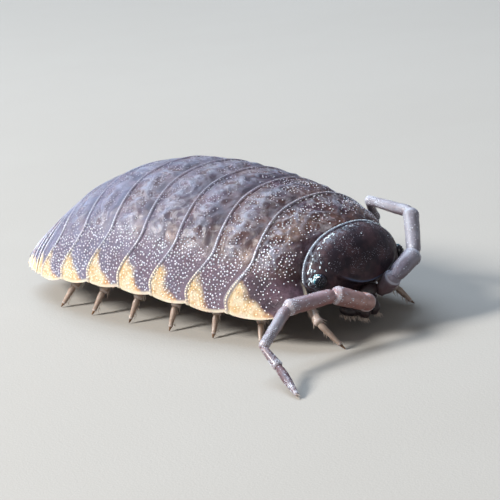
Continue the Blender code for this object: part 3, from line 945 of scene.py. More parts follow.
def granule_material():
    """Lilac to white granules, duller over the back and to the rear, cream on the yellow patches."""
    made, tree, shader = material("granules")
    where = object_place(tree)
    share, reach, start = plate_place(tree)
    tint = ramp(tree, noise_at(tree, where, 5.0, 2.0), 0.35, 0.65)
    colour = colour_mix(tree, tint, GRAIN_LILAC, GRAIN_WHITE)
    along = add(tree, "ShaderNodeSeparateXYZ", {0: where}).outputs["X"]
    dull = product(tree, ramp(tree, along, 5.0 * MM, 1.0 * MM), ramp(tree, reach, 0.70, 0.50, 0.35, 0.85))
    colour = colour_mix(tree, dull, colour, GRAIN_DULL)
    patch = placed_group(tree, PATCH, {"Vector": where, "Share": share, "Reach": reach, "Start": start})
    colour = colour_mix(tree, patch.outputs["Mask"], colour, PATCH_CREAM)
    tree.links.new(colour, shader.inputs["Base Color"])
    uneven_roughness(tree, shader, where, 9.0, 2.0, 0.26, 0.42)
    let_light_in(shader, 0.1, GRANULE_GLOW_DEPTH)
    return made


def pale_grain_material():
    """Grains of the head and limbs, duller than those of the plates."""
    made, tree, shader = material("pale_grains")
    where = object_place(tree)
    tint = ramp(tree, noise_at(tree, where, 4.0, 2.0), 0.35, 0.65)
    colour = colour_mix(tree, tint, (0.30, 0.28, 0.33), (0.62, 0.66, 0.74))
    tree.links.new(colour, shader.inputs["Base Color"])
    uneven_roughness(tree, shader, where, 9.0, 2.0, 0.22, 0.40)
    return made


HEAD_RIM_PALE = (0.30, 0.32, 0.40)
# A painted blue highlight along the shield's lip.
SHIELD_LIP_HIGHLIGHT_BLUE = (0.10, 0.17, 0.30)


def head_material():
    """Nearly black chitin with a blue cast, faintly marked towards its rear, its rear rim pale and a painted
    blue highlight along the lip of its shield.
    """
    made, tree, shader = material("head_shell")
    where = object_place(tree)
    mottle = ramp(tree, noise_at(tree, where, 1.8, 5.0, 0.6), 0.38, 0.68)
    colour = colour_mix(tree, mottle, (0.016, 0.010, 0.016), (0.058, 0.030, 0.036))
    forward, _, pale_rim_and_lip_highlight = plate_place(tree)
    streaks = placed_group(tree, WORM_MARKS, {"Vector": where, "Size": 0.26, "Width": 0.06}).outputs["Mask"]
    streaks = product(tree, streaks, ramp(tree, forward, 0.55, 0.25, 0.0, 0.45))
    colour = colour_mix(tree, streaks, colour, (0.20, 0.24, 0.30))
    # The pale rear rim, and a painted blue highlight along the shield's lip.
    colour = colour_mix(tree, pale_rim_and_lip_highlight, colour, colour_mix(tree, forward, HEAD_RIM_PALE, SHIELD_LIP_HIGHLIGHT_BLUE))
    tree.links.new(colour, shader.inputs["Base Color"])
    uneven_roughness(tree, shader, where, 5.0, 3.0, 0.40, 0.56)
    shader.inputs["Specular IOR Level"].default_value = 0.26
    grained(tree, shader, where, 22.0, 0.6)
    return made


def limb_material(name, tints, under, joint):
    """Chitin of a limb, tinted from its root to its tip, with clouds of a reddish brown that is also painted
    as shade on its side facing down, and pale at the joints.
    """
    made, tree, shader = material(name)
    where = object_place(tree)
    along, _, whole = plate_place(tree)
    tint = add(tree, "ShaderNodeValToRGB", {0: whole})
    stops = tint.color_ramp.elements
    for k in range(1, len(tints) - 1):
        stops.new(k / (len(tints) - 1))
    for stop, colour in zip(stops, tints):
        stop.color = (*colour, 1.0)
    facing = add(tree, "ShaderNodeSeparateXYZ", {0: add(tree, "ShaderNodeTexCoord").outputs["Normal"]})
    # Painted shade: the side that faces down turns darker and reddish.
    below = ramp(tree, facing.outputs["Z"], 0.15, -0.55, 0.0, 0.8)
    colour = colour_mix(tree, below, tint.outputs["Color"], under)
    clouds = ramp(tree, noise_at(tree, where, 2.4, 4.0, 0.6), 0.36, 0.66, 0.0, 0.45)
    colour = colour_mix(tree, clouds, colour, under)
    collar = math_node(tree, "ABSOLUTE", math_node(tree, "SUBTRACT", along, 0.97))
    colour = colour_mix(tree, ramp(tree, collar, 0.07, 0.02, 0.0, 0.6), colour, joint)
    tree.links.new(colour, shader.inputs["Base Color"])
    uneven_roughness(tree, shader, where, 6.0, 3.0, 0.30, 0.48)
    let_light_in(shader, 0.3, GLOW_DEPTH)
    shader.inputs["Subsurface Radius"].default_value = (1.0, 0.6, 0.5)
    grained(tree, shader, where, 16.0, 0.6)
    return made


def mottled_material(name, first, second, per_mm, roughness, subsurface=0.0, shine=0.5):
    """A plain finish of two colours in soft patches."""
    made, tree, shader = material(name)
    shader.inputs["Specular IOR Level"].default_value = shine
    where = object_place(tree)
    patches = ramp(tree, noise_at(tree, where, per_mm, 4.0), 0.35, 0.65)
    tree.links.new(colour_mix(tree, patches, first, second), shader.inputs["Base Color"])
    uneven_roughness(tree, shader, where, per_mm * 2, 2.0, roughness - 0.06, roughness + 0.08)
    let_light_in(shader, subsurface, GLOW_DEPTH)
    grained(tree, shader, where, 20.0, 0.35)
    return made


def fleck_material():
    """The head's flecks and beads, blue-white, and its dull fine dots."""
    made, tree, shader = material("head_flecks")
    where = object_place(tree)
    _, _, bright = plate_place(tree)
    tint = ramp(tree, noise_at(tree, where, 6.0, 2.0), 0.35, 0.60)
    pale = colour_mix(tree, tint, (0.34, 0.46, 0.54), (0.72, 0.84, 0.90))
    tree.links.new(colour_mix(tree, bright, (0.20, 0.20, 0.25), pale), shader.inputs["Base Color"])
    uneven_roughness(tree, shader, where, 9.0, 2.0, 0.22, 0.38)
    return made


LENS_GLINT_COLOURS = ((0.004, 0.006, 0.010), (0.015, 0.045, 0.10), (0.07, 0.30, 0.36), (0.78, 0.93, 0.96))


def ocellus_material():
    """The eye's lenses, black with a painted blue-white glint on those that face up and back."""
    made, tree, shader = material("eye_lenses")
    _, _, glint = plate_place(tree)
    tint = add(tree, "ShaderNodeValToRGB", {0: glint})
    tint.color_ramp.elements.new(0.35)
    tint.color_ramp.elements.new(0.65)
    for element, colour in zip(tint.color_ramp.elements, LENS_GLINT_COLOURS):
        element.color = (*colour, 1.0)
    tree.links.new(tint.outputs["Color"], shader.inputs["Base Color"])
    tree.links.new(ramp(tree, glint, 0.0, 0.5, 0.22, 0.10), shader.inputs["Roughness"])
    tree.links.new(ramp(tree, glint, 0.0, 0.5, 0.20, 0.60), shader.inputs["Specular IOR Level"])
    return made


shell = shell_material()
granule = granule_material()
head_shell = head_material()
pale_grain = pale_grain_material()
head_fleck = fleck_material()
FLESH = (0.44, 0.28, 0.26)
ROSE_GREY = (0.26, 0.19, 0.22)
BLUE_GREY = (0.26, 0.26, 0.30)
SMOKE = (0.080, 0.055, 0.072)
feeler_skin = limb_material(
    "feeler_skin", (FLESH, FLESH, ROSE_GREY, BLUE_GREY, SMOKE, SMOKE), (0.16, 0.06, 0.05), (0.44, 0.40, 0.43),
)
far_feeler_skin = limb_material(
    "far_feeler_skin", ((0.17, 0.12, 0.12), (0.17, 0.16, 0.21), BLUE_GREY, BLUE_GREY, SMOKE, SMOKE),
    (0.10, 0.06, 0.07), (0.40, 0.42, 0.50),
)
LEG_BROWN = (0.36, 0.28, 0.23)
leg_skin = limb_material(
    "leg_skin", (ROSE_GREY, ROSE_GREY, LEG_BROWN, LEG_BROWN, LEG_BROWN), (0.18, 0.115, 0.085),
    (0.48, 0.42, 0.40),
)
eye_black = mottled_material("eye_black", (0.004, 0.005, 0.008), (0.012, 0.012, 0.018), 3.0, 0.16)
lenses = ocellus_material()
belly_skin = mottled_material("belly_skin", (0.50, 0.44, 0.42), (0.36, 0.31, 0.32), 1.5, 0.55, 0.2)
gill_skin = mottled_material("gill_skin", (0.78, 0.76, 0.72), (0.62, 0.60, 0.58), 1.8, 0.5, 0.3)
mouth_brown = mottled_material("mouth_brown", (0.040, 0.022, 0.024), (0.014, 0.009, 0.012), 2.5, 0.4)
claw_brown = mottled_material("claw_brown", (0.18, 0.09, 0.04), (0.07, 0.035, 0.02), 4.0, 0.3)
bristle = mottled_material("bristle", (0.50, 0.42, 0.36), (0.34, 0.26, 0.22), 5.0, 0.4)
floor_paper = mottled_material("floor_paper", (0.36, 0.34, 0.31), (0.35, 0.33, 0.30), 0.05, 0.85, shine=0.1)

BALL = small_ball()
SPINE = small_cone()


def make_walking_plates():
    """The shells of the seven walking plates, with their granules and the beads of their rims."""
    for index in range(len(PLATE_REARS)):
        surface = plate_surface(index)
        front = PLATE_REARS[index - 1] if index else HEAD_BACK
        length = front - PLATE_REARS[index]
        patch_start = PATCH_STARTS[index]
        node = f"pereonite_{index + 1}"
        shade_highlight_tan = later_plate_shade_highlight_tan if index else first_plate_shade_highlight_tan
        body = plate_body(surface, length, PLATE_FACES, patch_start, shade_highlight_tan, TUCK if index else 0.0)
        piece(f"shell_plate_{index + 1}", [(arrays_of(body), shell)], [node])
        wanted = later_plate_granules if index else first_plate_granules
        frames, places = granules(
            surface, length, BACK_GIRTH, GRANULE_SPACING, 40 + index, wanted, patch_start,
        )
        more_frames, more_places = rim_beads(surface, length, BEAD_SPACING, 60 + index, patch_start)
        grains = repeated(BALL, frames + more_frames, places + more_places)
        piece(f"shell_granules_{index + 1}", [(grains, granule)], [node], 80.0)


def make_tail_plates():
    """The same for the five narrow plates of the tail."""
    rears = (PLATE_REARS[-1],) + TAIL_REARS
    for number in range(len(TAIL_REARS)):
        surface = tail_surface(number)
        length = rears[number] - rears[number + 1]
        body = plate_body(surface, length, TAIL_FACES, TAIL_PATCH_START, plain_tone, TUCK, 0.7)
        piece(f"tail_plate_{number + 1}", [(arrays_of(body), shell)], ["pleon"])
        frames, places = granules(
            surface, length, TAIL_GIRTH, TAIL_GRANULE_SPACING, 80 + number, tail_granules, TAIL_PATCH_START,
        )
        more_frames, more_places = rim_beads(
            surface, length, TAIL_BEAD_SPACING, 90 + number, TAIL_PATCH_START,
        )
        grains = repeated(BALL, frames + more_frames, places + more_places)
        piece(f"tail_granules_{number + 1}", [(grains, granule)], ["pleon"], 80.0)


def make_tail_end():
    """The telson on the midline and the flat limbs on each side of it, which round the tail off."""
    def telson_side(share):
        return mix(TELSON_ACROSS[0], TELSON_ACROSS[1], share)

    def fan_plate(name, low, high, node, seed):
        surface = fan_surface(low, high)
        length = TAIL_REARS[-1] - FAN_BACK

        def rounding(share, between):
            """How far the plate thins towards its free edges."""
            near = min(1 - share, between * 1.2, (1 - between) * 1.2) * length
            return 0.5 * FAN_THICKNESS * max(0.0, 1 - near / FAN_THINNING) ** 2

        def outer(share, across):
            between = (across + 1) / 2
            point = surface(share, between)
            return surface(share, between, relief(point, 0.7) - rounding(share, between))

        def inner(share, across):
            between = (across + 1) / 2
            return surface(share, between, rounding(share, between) - FAN_THICKNESS)

        body = slab(FAN_FACES, outer, inner, length, FAN_TUCK, TAIL_PATCH_START)
        place = body.verts.layers.float_vector["place"]
        for vert in body.verts:
            share, across, start = vert[place]
            vert[place] = (min(share, 0.9), 0.6 + 0.2 * across, start)
        frames, places = granules(
            lambda share, across: surface(share, (across + 1) / 2), length, FAN_GIRTH,
            FAN_GRANULE_SPACING, seed, lambda share, across, point: (0.8, 0.022), TAIL_PATCH_START,
        )
        sources = [(arrays_of(body), shell), (repeated(BALL, frames, places), granule)]
        piece(name, sources, [node])

    fan_plate("telson_plate", lambda share: -telson_side(share), telson_side, "telson", 31)
    for side, word in SIDES:
        fan_plate(
            f"uropod_plate_{word}", lambda share: side * (telson_side(share) + FAN_GAP),
            lambda share: side * UROPOD_ACROSS, f"uropod_{word}", 32 + side,
        )


def head_point(sx, sy, sz, lift=0.0):
    """A point of the head from a point of the unit ball, sx forward."""
    y = (HEAD_HALF_WIDTH + lift) * math.copysign(abs(sy) ** 0.9, sy)
    z = HEAD_CENTRE_Z + ((HEAD_UP if sz > 0 else HEAD_DOWN) + lift) * math.copysign(abs(sz) ** 0.95, sz)
    x = HEAD_BACK + (HEAD_DEPTH + lift) * max(sx, 0.0) ** 0.85 + 0.25 * min(sx, 0.0)
    rim = SHIELD_EDGE_Z + SHIELD_CURVE * y * y
    front = smooth(sx, 0.2, 0.6) * smooth(abs(y), SHIELD_ENDS[1], SHIELD_ENDS[0])
    x += SHIELD_LIP * front * smooth(z, rim + 0.26, rim + 0.05) * smooth(z, rim - 0.06, rim)
    x -= FACE_RECESS * front * smooth(z, rim, rim - 0.10)
    return Vector((x, y, z))


def make_head():
    """The head's shell, with its rear rim, the sockets of the feelers and the lip of its shield."""
    bm = bmesh.new()
    bmesh.ops.create_uvsphere(bm, u_segments=240, v_segments=170, radius=1.0)
    place = bm.verts.layers.float_vector.new("place")
    for vert in bm.verts:
        sx, sy, sz = vert.co
        plain = head_point(sx, sy, sz)
        distance = plain.x - HEAD_BACK
        crest = math.sqrt(max(0.0, 1 - ((distance - HEAD_RIM_AT) / HEAD_RIM_HALF) ** 2))
        groove = bell(distance, HEAD_RIM_AT + 0.09, 0.035)
        upper = smooth(plain.z, SHIELD_EDGE_Z, SHIELD_EDGE_Z + 0.4)
        lift = upper * (HEAD_RIM_HEIGHT * crest - HEAD_GROOVE_DEPTH * groove)
        lift += 0.012 * noise.noise(plain * 1.6) + 0.008 * noise.noise(plain * 5)
        sockets = 0.0
        for feeler in (RIGHT_FEELER, LEFT_FEELER):
            away = (plain - Vector(feeler[0])).length
            sockets = max(sockets, math.sqrt(max(0.0, 1 - (away / FEELER_SOCKET) ** 2)))
        vert.co = head_point(sx, sy, sz, lift)
        vert.co.x -= FEELER_SOCKET_DEPTH * sockets
        rim = SHIELD_EDGE_Z + SHIELD_CURVE * plain.y * plain.y
        lip = bell(plain.z, rim + 0.02, 0.03) * smooth(sx, 0.3, 0.6) * smooth(abs(plain.y), 1.3, 0.9)
        # The third part marks the pale rear rim and the painted highlight along the shield's lip.
        vert[place] = (smooth(distance, 0.0, 1.1), sy, max(0.8 * crest * upper, 0.5 * lip))
    bmesh.ops.recalc_face_normals(bm, faces=bm.faces)
    piece("head_shell", [(arrays_of(bm), head_shell)], ["head"])
    piece("head_marks", [(head_marks(), head_fleck)], ["head"], 80.0)


# Rows of flecks in front of the head's rear rim: depth, count, half length, radius, odds.
HEAD_FLECK_ROWS = (
    (0.115, 44, 0.085, 0.034, 0.9), (0.155, 38, 0.075, 0.032, 0.7), (0.22, 30, 0.070, 0.030, 0.40),
    (0.30, 24, 0.050, 0.024, 0.40), (0.40, 24, 0.040, 0.018, 0.30),
)
HEAD_DOTS = 800


def forehead_at(depth, turn):
    """A point of the forehead: depth from its rear rim to its front, turn from its top to the side."""
    inner = math.cos(depth * math.pi / 2)
    sx = math.sin(depth * math.pi / 2)
    return head_point(sx, inner * math.sin(turn), inner * math.cos(turn))


def under_shield(point):
    """Whether a point of the head lies at its shield's edge or below it."""
    return point.z < SHIELD_EDGE_Z + SHIELD_CURVE * point.y * point.y + 0.1


def head_marks():
    """Flecks in rows in front of the rear rim, beads along the rim and fine dots over the forehead."""
    draw = random.Random(7)
    frames, places = [], []
    for depth, count, long_radius, radius, odds in HEAD_FLECK_ROWS:
        for k in range(count):
            turn = math.radians(-96 + 192 * (k + draw.uniform(-0.3, 0.3)) / count)
            here = depth + draw.uniform(-0.02, 0.02)
            chance, stretch, wide = draw.random(), draw.uniform(0.5, 1.4), draw.uniform(0.7, 1.3)
            if chance > odds * mix(0.5, 1.0, smooth(abs(turn), 0.2, 0.9)):
                continue
            frame_here = surface_frame(forehead_at, here, turn, 0.3 * radius)
            slant = Matrix.Rotation(draw.uniform(-0.7, 0.7), 4, "Z")
            size = Matrix.Diagonal((radius * wide, long_radius * stretch, radius * 0.5, 1.0))
            frames.append(frame_here @ slant @ size)
            places.append((0.5, 0.0, 1.0))
    beads = round(HEAD_RIM_LENGTH / HEAD_BEAD_SPACING)
    for k in range(beads):
        turn = math.radians(-92 + 184 * (k + draw.uniform(-0.2, 0.2)) / beads)
        radius = draw.uniform(0.018, 0.028)
        frame_here = surface_frame(forehead_at, HEAD_RIM_DEPTH, turn, -0.030)
        frames.append(frame_here @ Matrix.Diagonal((radius, radius * 1.2, radius * 0.7, 1.0)))
        places.append((0.5, 0.0, 1.0))
    for k in range(HEAD_DOTS):
        turn = math.radians(draw.uniform(-85, 85))
        depth = math.asin(draw.uniform(0.25, 0.98)) * 2 / math.pi
        radius = draw.uniform(0.006, 0.011)
        stretch = draw.uniform(1.0, 2.2)
        if under_shield(forehead_at(depth, turn)):
            continue
        slant = Matrix.Rotation(draw.uniform(0, 3), 4, "Z")
        size = Matrix.Diagonal((radius, radius * stretch, radius, 1.0))
        frames.append(surface_frame(forehead_at, depth, turn, 0.3 * radius) @ slant @ size)
        places.append((0.5, 0.0, 0.0))
    return repeated(BALL, frames, places)


def make_eyes():
    """Each eye is a dark bed with rows of round lenses, those that face up and back painted with a bright
    glint.
    """
    lens = small_ball(2)
    for side, word in SIDES:
        draw = random.Random(11)
        centre = Vector((EYE_PLACE[0], side * (EYE_PLACE[1] - EYE_SUNK), EYE_PLACE[2]))
        bm = bmesh.new()
        bmesh.ops.create_uvsphere(bm, u_segments=40, v_segments=24, radius=1.0)
        bmesh.ops.scale(bm, vec=EYE_RADII, verts=bm.verts)
        bmesh.ops.translate(bm, vec=centre, verts=bm.verts)
        bmesh.ops.recalc_face_normals(bm, faces=bm.faces)
        base = arrays_of(bm)
        frames, places = [], []
        for row in range(-LENS_ROWS, LENS_ROWS + 1):
            for column in range(-LENS_ROWS, LENS_ROWS + 1):
                u = (column + 0.5 * (row % 2)) * LENS_STEP + draw.uniform(-0.02, 0.02)
                v = row * LENS_STEP * 0.9 + draw.uniform(-0.02, 0.02)
                bright = draw.uniform(0.5, 1.25)
                if u * u + v * v > 0.9:
                    continue
                out = Vector((u, side * math.sqrt(1 - u * u - v * v), v))
                spot = centre + Vector([part * radius for part, radius in zip(out, EYE_RADII)])
                normal = Vector([part / radius for part, radius in zip(out, EYE_RADII)]).normalized()
                turn = normal.to_track_quat("Z", "Y").to_matrix().to_4x4()
                frames.append(Matrix.Translation(spot) @ turn @ Matrix.Diagonal(LENS_RADII))
                # A painted glint on the lenses that face up and back.
                places.append((0.0, 0.0, bright * smooth(0.7 * v - u, -0.15, 0.60)))
        sources = [(base, eye_black), (repeated(lens, frames, places), lenses)]
        piece(f"eye_facets_{word}", sources, [f"eye_{word}"], 80.0)


def turned(outline, sides):
    """A body turned round the Z axis from an outline of radius and height that ends on the axis."""
    bm = bmesh.new()
    points = [(0.0, outline[0][1]), *outline]
    verts = [bm.verts.new((radius, 0.0, height)) for radius, height in points]
    edges = [bm.edges.new(pair) for pair in zip(verts, verts[1:])]
    bmesh.ops.spin(
        bm, geom=verts + edges, cent=(0, 0, 0), axis=(0, 0, 1), angle=2 * math.pi, steps=sides,
        use_merge=True,
    )
    bmesh.ops.remove_doubles(bm, verts=bm.verts, dist=1e-5)
    return bm


def article_form(start, end, root_radius, end_radius, belly=0.0, neck=0.62):
    """The form of one piece of a limb: a narrow neck, its full width, then a round knob.

    Gives its length, the heights of its foot and its top, its radius at a height, and a point of its
    surface from a height and an angle. belly fattens its middle.
    """
    start, end = Vector(start), Vector(end)
    length = (end - start).length
    foot = -0.30 * root_radius
    top = length + 0.50 * end_radius
    knob = 0.95 * end_radius
    turn = (end - start).to_track_quat("Z", "Y").to_matrix()

    def radius_at(height):
        share = min(1.0, max(0.0, height / length))
        radius = mix(root_radius, end_radius, share) * (1 + belly * math.sin(math.pi * share))
        radius *= mix(neck, 1.0, smooth(height, foot, foot + 1.3 * root_radius))
        over = min(1.0, max(0.0, height - top + knob) / knob)
        return radius * math.sqrt(1 - over * over) * (1 + 0.07 * bell(height, top - knob, 0.6 * end_radius))

    def placed(point):
        """A point of the plain form, made uneven and put in its place."""
        wobble = 1 + 0.07 * noise.noise(point * 2.5 + start * 5)
        wobble += 0.04 * noise.noise(point * 9 + start)
        return start + turn @ Vector((point.x * wobble, point.y * wobble, point.z))

    return length, foot, top, radius_at, placed


def article(form, whole=(0.0, 1.0), sides=24, rings=24):
    """The body of one piece of a limb. whole is the stretch of the limb's length that it takes up."""
    length, foot, top, radius_at, placed = form
    outline = []
    for ring in range(rings):
        height = mix(foot, top, 1 - (1 - ring / rings) ** 1.7)
        outline.append((radius_at(height), height))
    outline.append((0.0, top))
    bm = turned(outline, sides)
    place = bm.verts.layers.float_vector.new("place")
    for vert in bm.verts:
        share = vert.co.z / length
        vert[place] = (share, 0.0, mix(whole[0], whole[1], min(1.0, max(0.0, share))))
        vert.co = placed(vert.co)
    bmesh.ops.recalc_face_normals(bm, faces=bm.faces)
    return arrays_of(bm)


def bristles(start, end, radius, count, size, seed, spread=math.pi, toward=(0, 0, -1), lean=0.5):
    """Spines on one article, round the side that faces toward, leaning to the article's far end."""
    draw = random.Random(seed)
    start, end = Vector(start), Vector(end)
    along = (end - start).normalized()
    base = Vector(toward) - along * Vector(toward).dot(along)
    base = base.normalized() if base.length > 0.05 else along.orthogonal().normalized()
    frames, places = [], []
    for k in range(count):
        share = mix(0.12, 0.94, (k + draw.random()) / count)
        angle = draw.uniform(-spread, spread)
        out = Matrix.Rotation(angle, 3, along) @ base
        pointing = (out + along * (lean + draw.uniform(-0.2, 0.3))).normalized()
        long = size * draw.uniform(0.7, 1.3)
        root = start.lerp(end, share) + out * radius * 0.92
        turn = pointing.to_track_quat("Z", "Y").to_matrix().to_4x4()
        slim = Matrix.Diagonal((long * 0.11, long * 0.11, long, 1.0))
        frames.append(Matrix.Translation(root) @ turn @ slim)
        places.append((0.5, 0.0, 0.0))
    return repeated(SPINE, frames, places)


def limb_scales(form, spacing, seed, size, begin):
    """Small blunt scales over an article, closer set towards its far end and on its upper side."""
    length, _, top, radius_at, placed = form
    draw = random.Random(seed)
    frames, places = [], []
    rows = max(2, round(top / spacing))
    for row in range(rows):
        height = (row + 0.5) / rows * (top - 0.1 * size)
        around = max(5, round(2 * math.pi * radius_at(height) / spacing))
        for k in range(around):
            angle = 2 * math.pi * (k + 0.5 * (row % 2) + draw.uniform(-0.25, 0.25)) / around
            here = height + draw.uniform(-0.2, 0.2) * spacing
            side = Vector((math.cos(angle), math.sin(angle), 0.0))
            spot = placed(side * radius_at(here) + Vector((0, 0, here)))
            ahead = placed(side * radius_at(here + 0.01) + Vector((0, 0, here + 0.01)))
            along = (ahead - spot).normalized()
            middle = placed(Vector((0, 0, here)))
            round_it = along.cross(spot - middle).normalized()
            out = round_it.cross(along)
            chance, scale = draw.random(), draw.uniform(0.6, 1.2)
            crowd = mix(0.12, 1.0, smooth(here / length, begin, begin + 0.3))
            if chance > crowd * smooth(out.z, -0.9, 0.0):
                continue
            turn = Matrix((along, round_it, out)).transposed().to_4x4()
            wide = size * scale
            blunt = Matrix.Diagonal((1.4 * size * scale, wide, 0.55 * wide, 1.0))
            frames.append(Matrix.Translation(spot) @ turn @ blunt)
            places.append((0.5, 0.0, 1.0))
    return repeated(BALL, frames, places)


def make_feelers():
    """Both feelers, scaly towards their ends, with a tuft at the tip."""
    for word, joints, skin in (("right", RIGHT_FEELER, feeler_skin), ("left", LEFT_FEELER, far_feeler_skin)):
        sources = []
        last = len(joints) - 1
        for k, (start, end) in enumerate(zip(joints, joints[1:])):
            root_radius, end_radius = FEELER_ARTICLES[k]
            form = article_form(start, end, root_radius, end_radius, FEELER_BELLIES[k])
            sources.append((article(form, (k / last, (k + 1) / last)), skin))
            if FEELER_SCALES[k]:
                spacing, size, begin = FEELER_SCALES[k]
                sources.append((limb_scales(form, spacing, 100 + k, size, begin), pale_grain))
            if k >= 3:
                sources.append((bristles(start, end, root_radius, 26, 0.06, 120 + k, lean=1.8), bristle))
        tip = Vector(joints[-1])
        back = (Vector(joints[-2]) - tip).normalized()
        tuft = bristles(tip + back * 0.05, tip - back * 0.01, 0.02, 6, 0.16, 140, lean=4.0)
        sources.append((tuft, bristle))
        piece(f"feeler_{word}", sources, [f"antenna_{word}"])


def leg_joints(index, side):
    """Where one leg starts, its hip, its knee, its ankle and its foot."""
    ahead = PLATE_REARS[index - 1] if index else COLLAR - CUT_SLANT
    root_x = (PLATE_REARS[index] + ahead - GAP) / 2 + CUT_SLANT
    inner = inner_edge(root_x)
    edge = dome_at(root_x)[2]
    lean = LEG_LEANS[index]
    top = Vector((root_x, side * LEG_ROOT_Y, belly_z(root_x, LEG_ROOT_Y / inner)))
    hip = top - Vector((0, 0, COXA_LENGTH + GAP))
    knee = Vector((root_x + KNEE_LEAN * lean, side * (inner - KNEE_INSET), edge))
    ankle = Vector((root_x + ANKLE_LEAN * lean, side * (inner - ANKLE_INSET), ANKLE_HEIGHT * edge))
    foot = Vector((root_x + lean, side * (inner + FOOT_OUTSET), 0.0))
    if index == 0 and side < 0:
        knee, ankle, foot = Vector(REACHING_KNEE), Vector(REACHING_ANKLE), Vector(REACHING_FOOT)
    return top, hip, knee, ankle, foot


def make_legs():
    """The fourteen legs: five articles each, spiny below, and a claw."""
    for index in range(len(PLATE_REARS)):
        for side, word in SIDES:
            top, hip, knee, ankle, foot = leg_joints(index, side)
            thigh_end = hip.lerp(knee, THIGH_SHARE)
            shin = ankle.lerp(foot, 0.02)
            toe = ankle.lerp(foot, 0.80)
            seed = 200 + 10 * index + side
            inward = (0, -side * 0.6, -1)
            runs = ((top, hip), (hip, thigh_end), (thigh_end, knee), (knee, ankle), (shin, toe))
            sources = []
            for k, ((start, end), sizes) in enumerate(zip(runs, LEG_ARTICLES)):
                root_radius, end_radius, spines, long = sizes
                whole = (k / len(runs), (k + 1) / len(runs))
                form = article_form(start, end, root_radius, end_radius)
                sources.append((article(form, whole, 16, 14), leg_skin))
                if spines:
                    row = bristles(start, end, root_radius, spines, long, seed + k, 1.0, inward, 1.1)
                    sources.append((row, bristle))
            claw = article_form(toe, foot + Vector((0, 0, 0.03)), 0.055, 0.014, 0.0, 0.9)
            sources.append((article(claw, (1, 1), 12, 10), claw_brown))
            piece(f"walking_leg_{word}_{index + 1}", sources, [f"leg_{word}_{index + 1}"])


BELLY_FRONT = 5.55
BELLY_REAR = -6.9
BELLY_THICKNESS = 0.12
RIB_HEIGHT = 0.05
RIB_PITCH = 1.46


def make_belly():
    """The soft underside, with a low rib across it for each segment."""
    def point(share, across, drop):
        x = mix(BELLY_FRONT, BELLY_REAR, share)
        side = math.copysign(abs(math.sin(across * math.pi / 2)) ** SHOULDER, across)
        rib = RIB_HEIGHT * math.cos((x - PLATE_REARS[0]) * 2 * math.pi / RIB_PITCH)
        inset = dome_at(x)[0] - BELLY_THICKNESS
        return Vector((x, side * inset, belly_z(x, side) + drop - rib * (1 - side**4)))

    bm = bmesh.new()
    bmesh.ops.create_grid(bm, x_segments=120, y_segments=40, size=1.0)
    grown = bmesh.ops.extrude_face_region(bm, geom=bm.faces[:])
    over = {vert for vert in grown["geom"] if isinstance(vert, bmesh.types.BMVert)}
    place = bm.verts.layers.float_vector.new("place")
    for vert in bm.verts:
        share, across = (1 - vert.co.x) / 2, vert.co.y
        vert[place] = (share, across, 0.0)
        vert.co = point(share, across, BELLY_THICKNESS if vert in over else 0.0)
    bmesh.ops.recalc_face_normals(bm, faces=bm.faces)
    nodes = [f"pereonite_{index + 1}" for index in range(len(PLATE_REARS))] + ["pleon"]
    piece("belly", [(arrays_of(bm), belly_skin)], nodes)


GILL_FLAPS = 5
GILL_FIRST_X = -4.95
GILL_PITCH = 0.36
GILL_TILT = 16.0
GILL_RADII = (0.44, 0.56, 0.13)
GILL_NARROWING = 0.09
GILL_DROP = 0.50


def make_gills():
    """The pale breathing flaps under the tail, lapped like tiles."""
    for side, word in SIDES:
        sources = []
        for i in range(GILL_FLAPS):
            x = GILL_FIRST_X - i * GILL_PITCH
            length, width, thickness = GILL_RADII
            width *= 1 - GILL_NARROWING * i
            bm = bmesh.new()
            bmesh.ops.create_uvsphere(bm, u_segments=36, v_segments=20, radius=1.0)
            for vert in bm.verts:
                vert.co.z += 0.12 * noise.noise(vert.co * 2 + Vector((i, side, 0)))
            bmesh.ops.scale(bm, vec=(length, width, thickness), verts=bm.verts)
            tilt = Matrix.Rotation(math.radians(-GILL_TILT), 3, "Y")
            bmesh.ops.rotate(bm, verts=bm.verts, cent=(0, 0, 0), matrix=tilt)
            bmesh.ops.translate(
                bm, vec=(x, side * (GAP / 2 + width), belly_z(x, 0.0) - GILL_DROP), verts=bm.verts,
            )
            bmesh.ops.recalc_face_normals(bm, faces=bm.faces)
            sources.append((arrays_of(bm), gill_skin))
        piece(f"gill_flaps_{word}", sources, [f"pleopods_{word}"])


FACE_LOBES = (
    ((6.86, 0.0, 1.30), (0.16, 0.42, 0.22)),
    ((6.90, 0.0, 1.02), (0.14, 0.26, 0.16)),
)
MOUTH_LOBES = (
    ((6.42, 0.26, 0.74), (0.46, 0.26, 0.25)),
    ((6.78, 0.20, 0.70), (0.22, 0.19, 0.26)),
    ((6.34, 0.48, 0.72), (0.34, 0.16, 0.20)),
)


def lobe(centre, radii):
    """A slightly uneven rounded lobe."""
    bm = bmesh.new()
    bmesh.ops.create_uvsphere(bm, u_segments=32, v_segments=20, radius=1.0)
    for vert in bm.verts:
        vert.co *= 1 + 0.06 * noise.noise(vert.co * 2.3 + Vector(centre))
    bmesh.ops.scale(bm, vec=radii, verts=bm.verts)
    bmesh.ops.translate(bm, vec=centre, verts=bm.verts)
    bmesh.ops.recalc_face_normals(bm, faces=bm.faces)
    return arrays_of(bm)


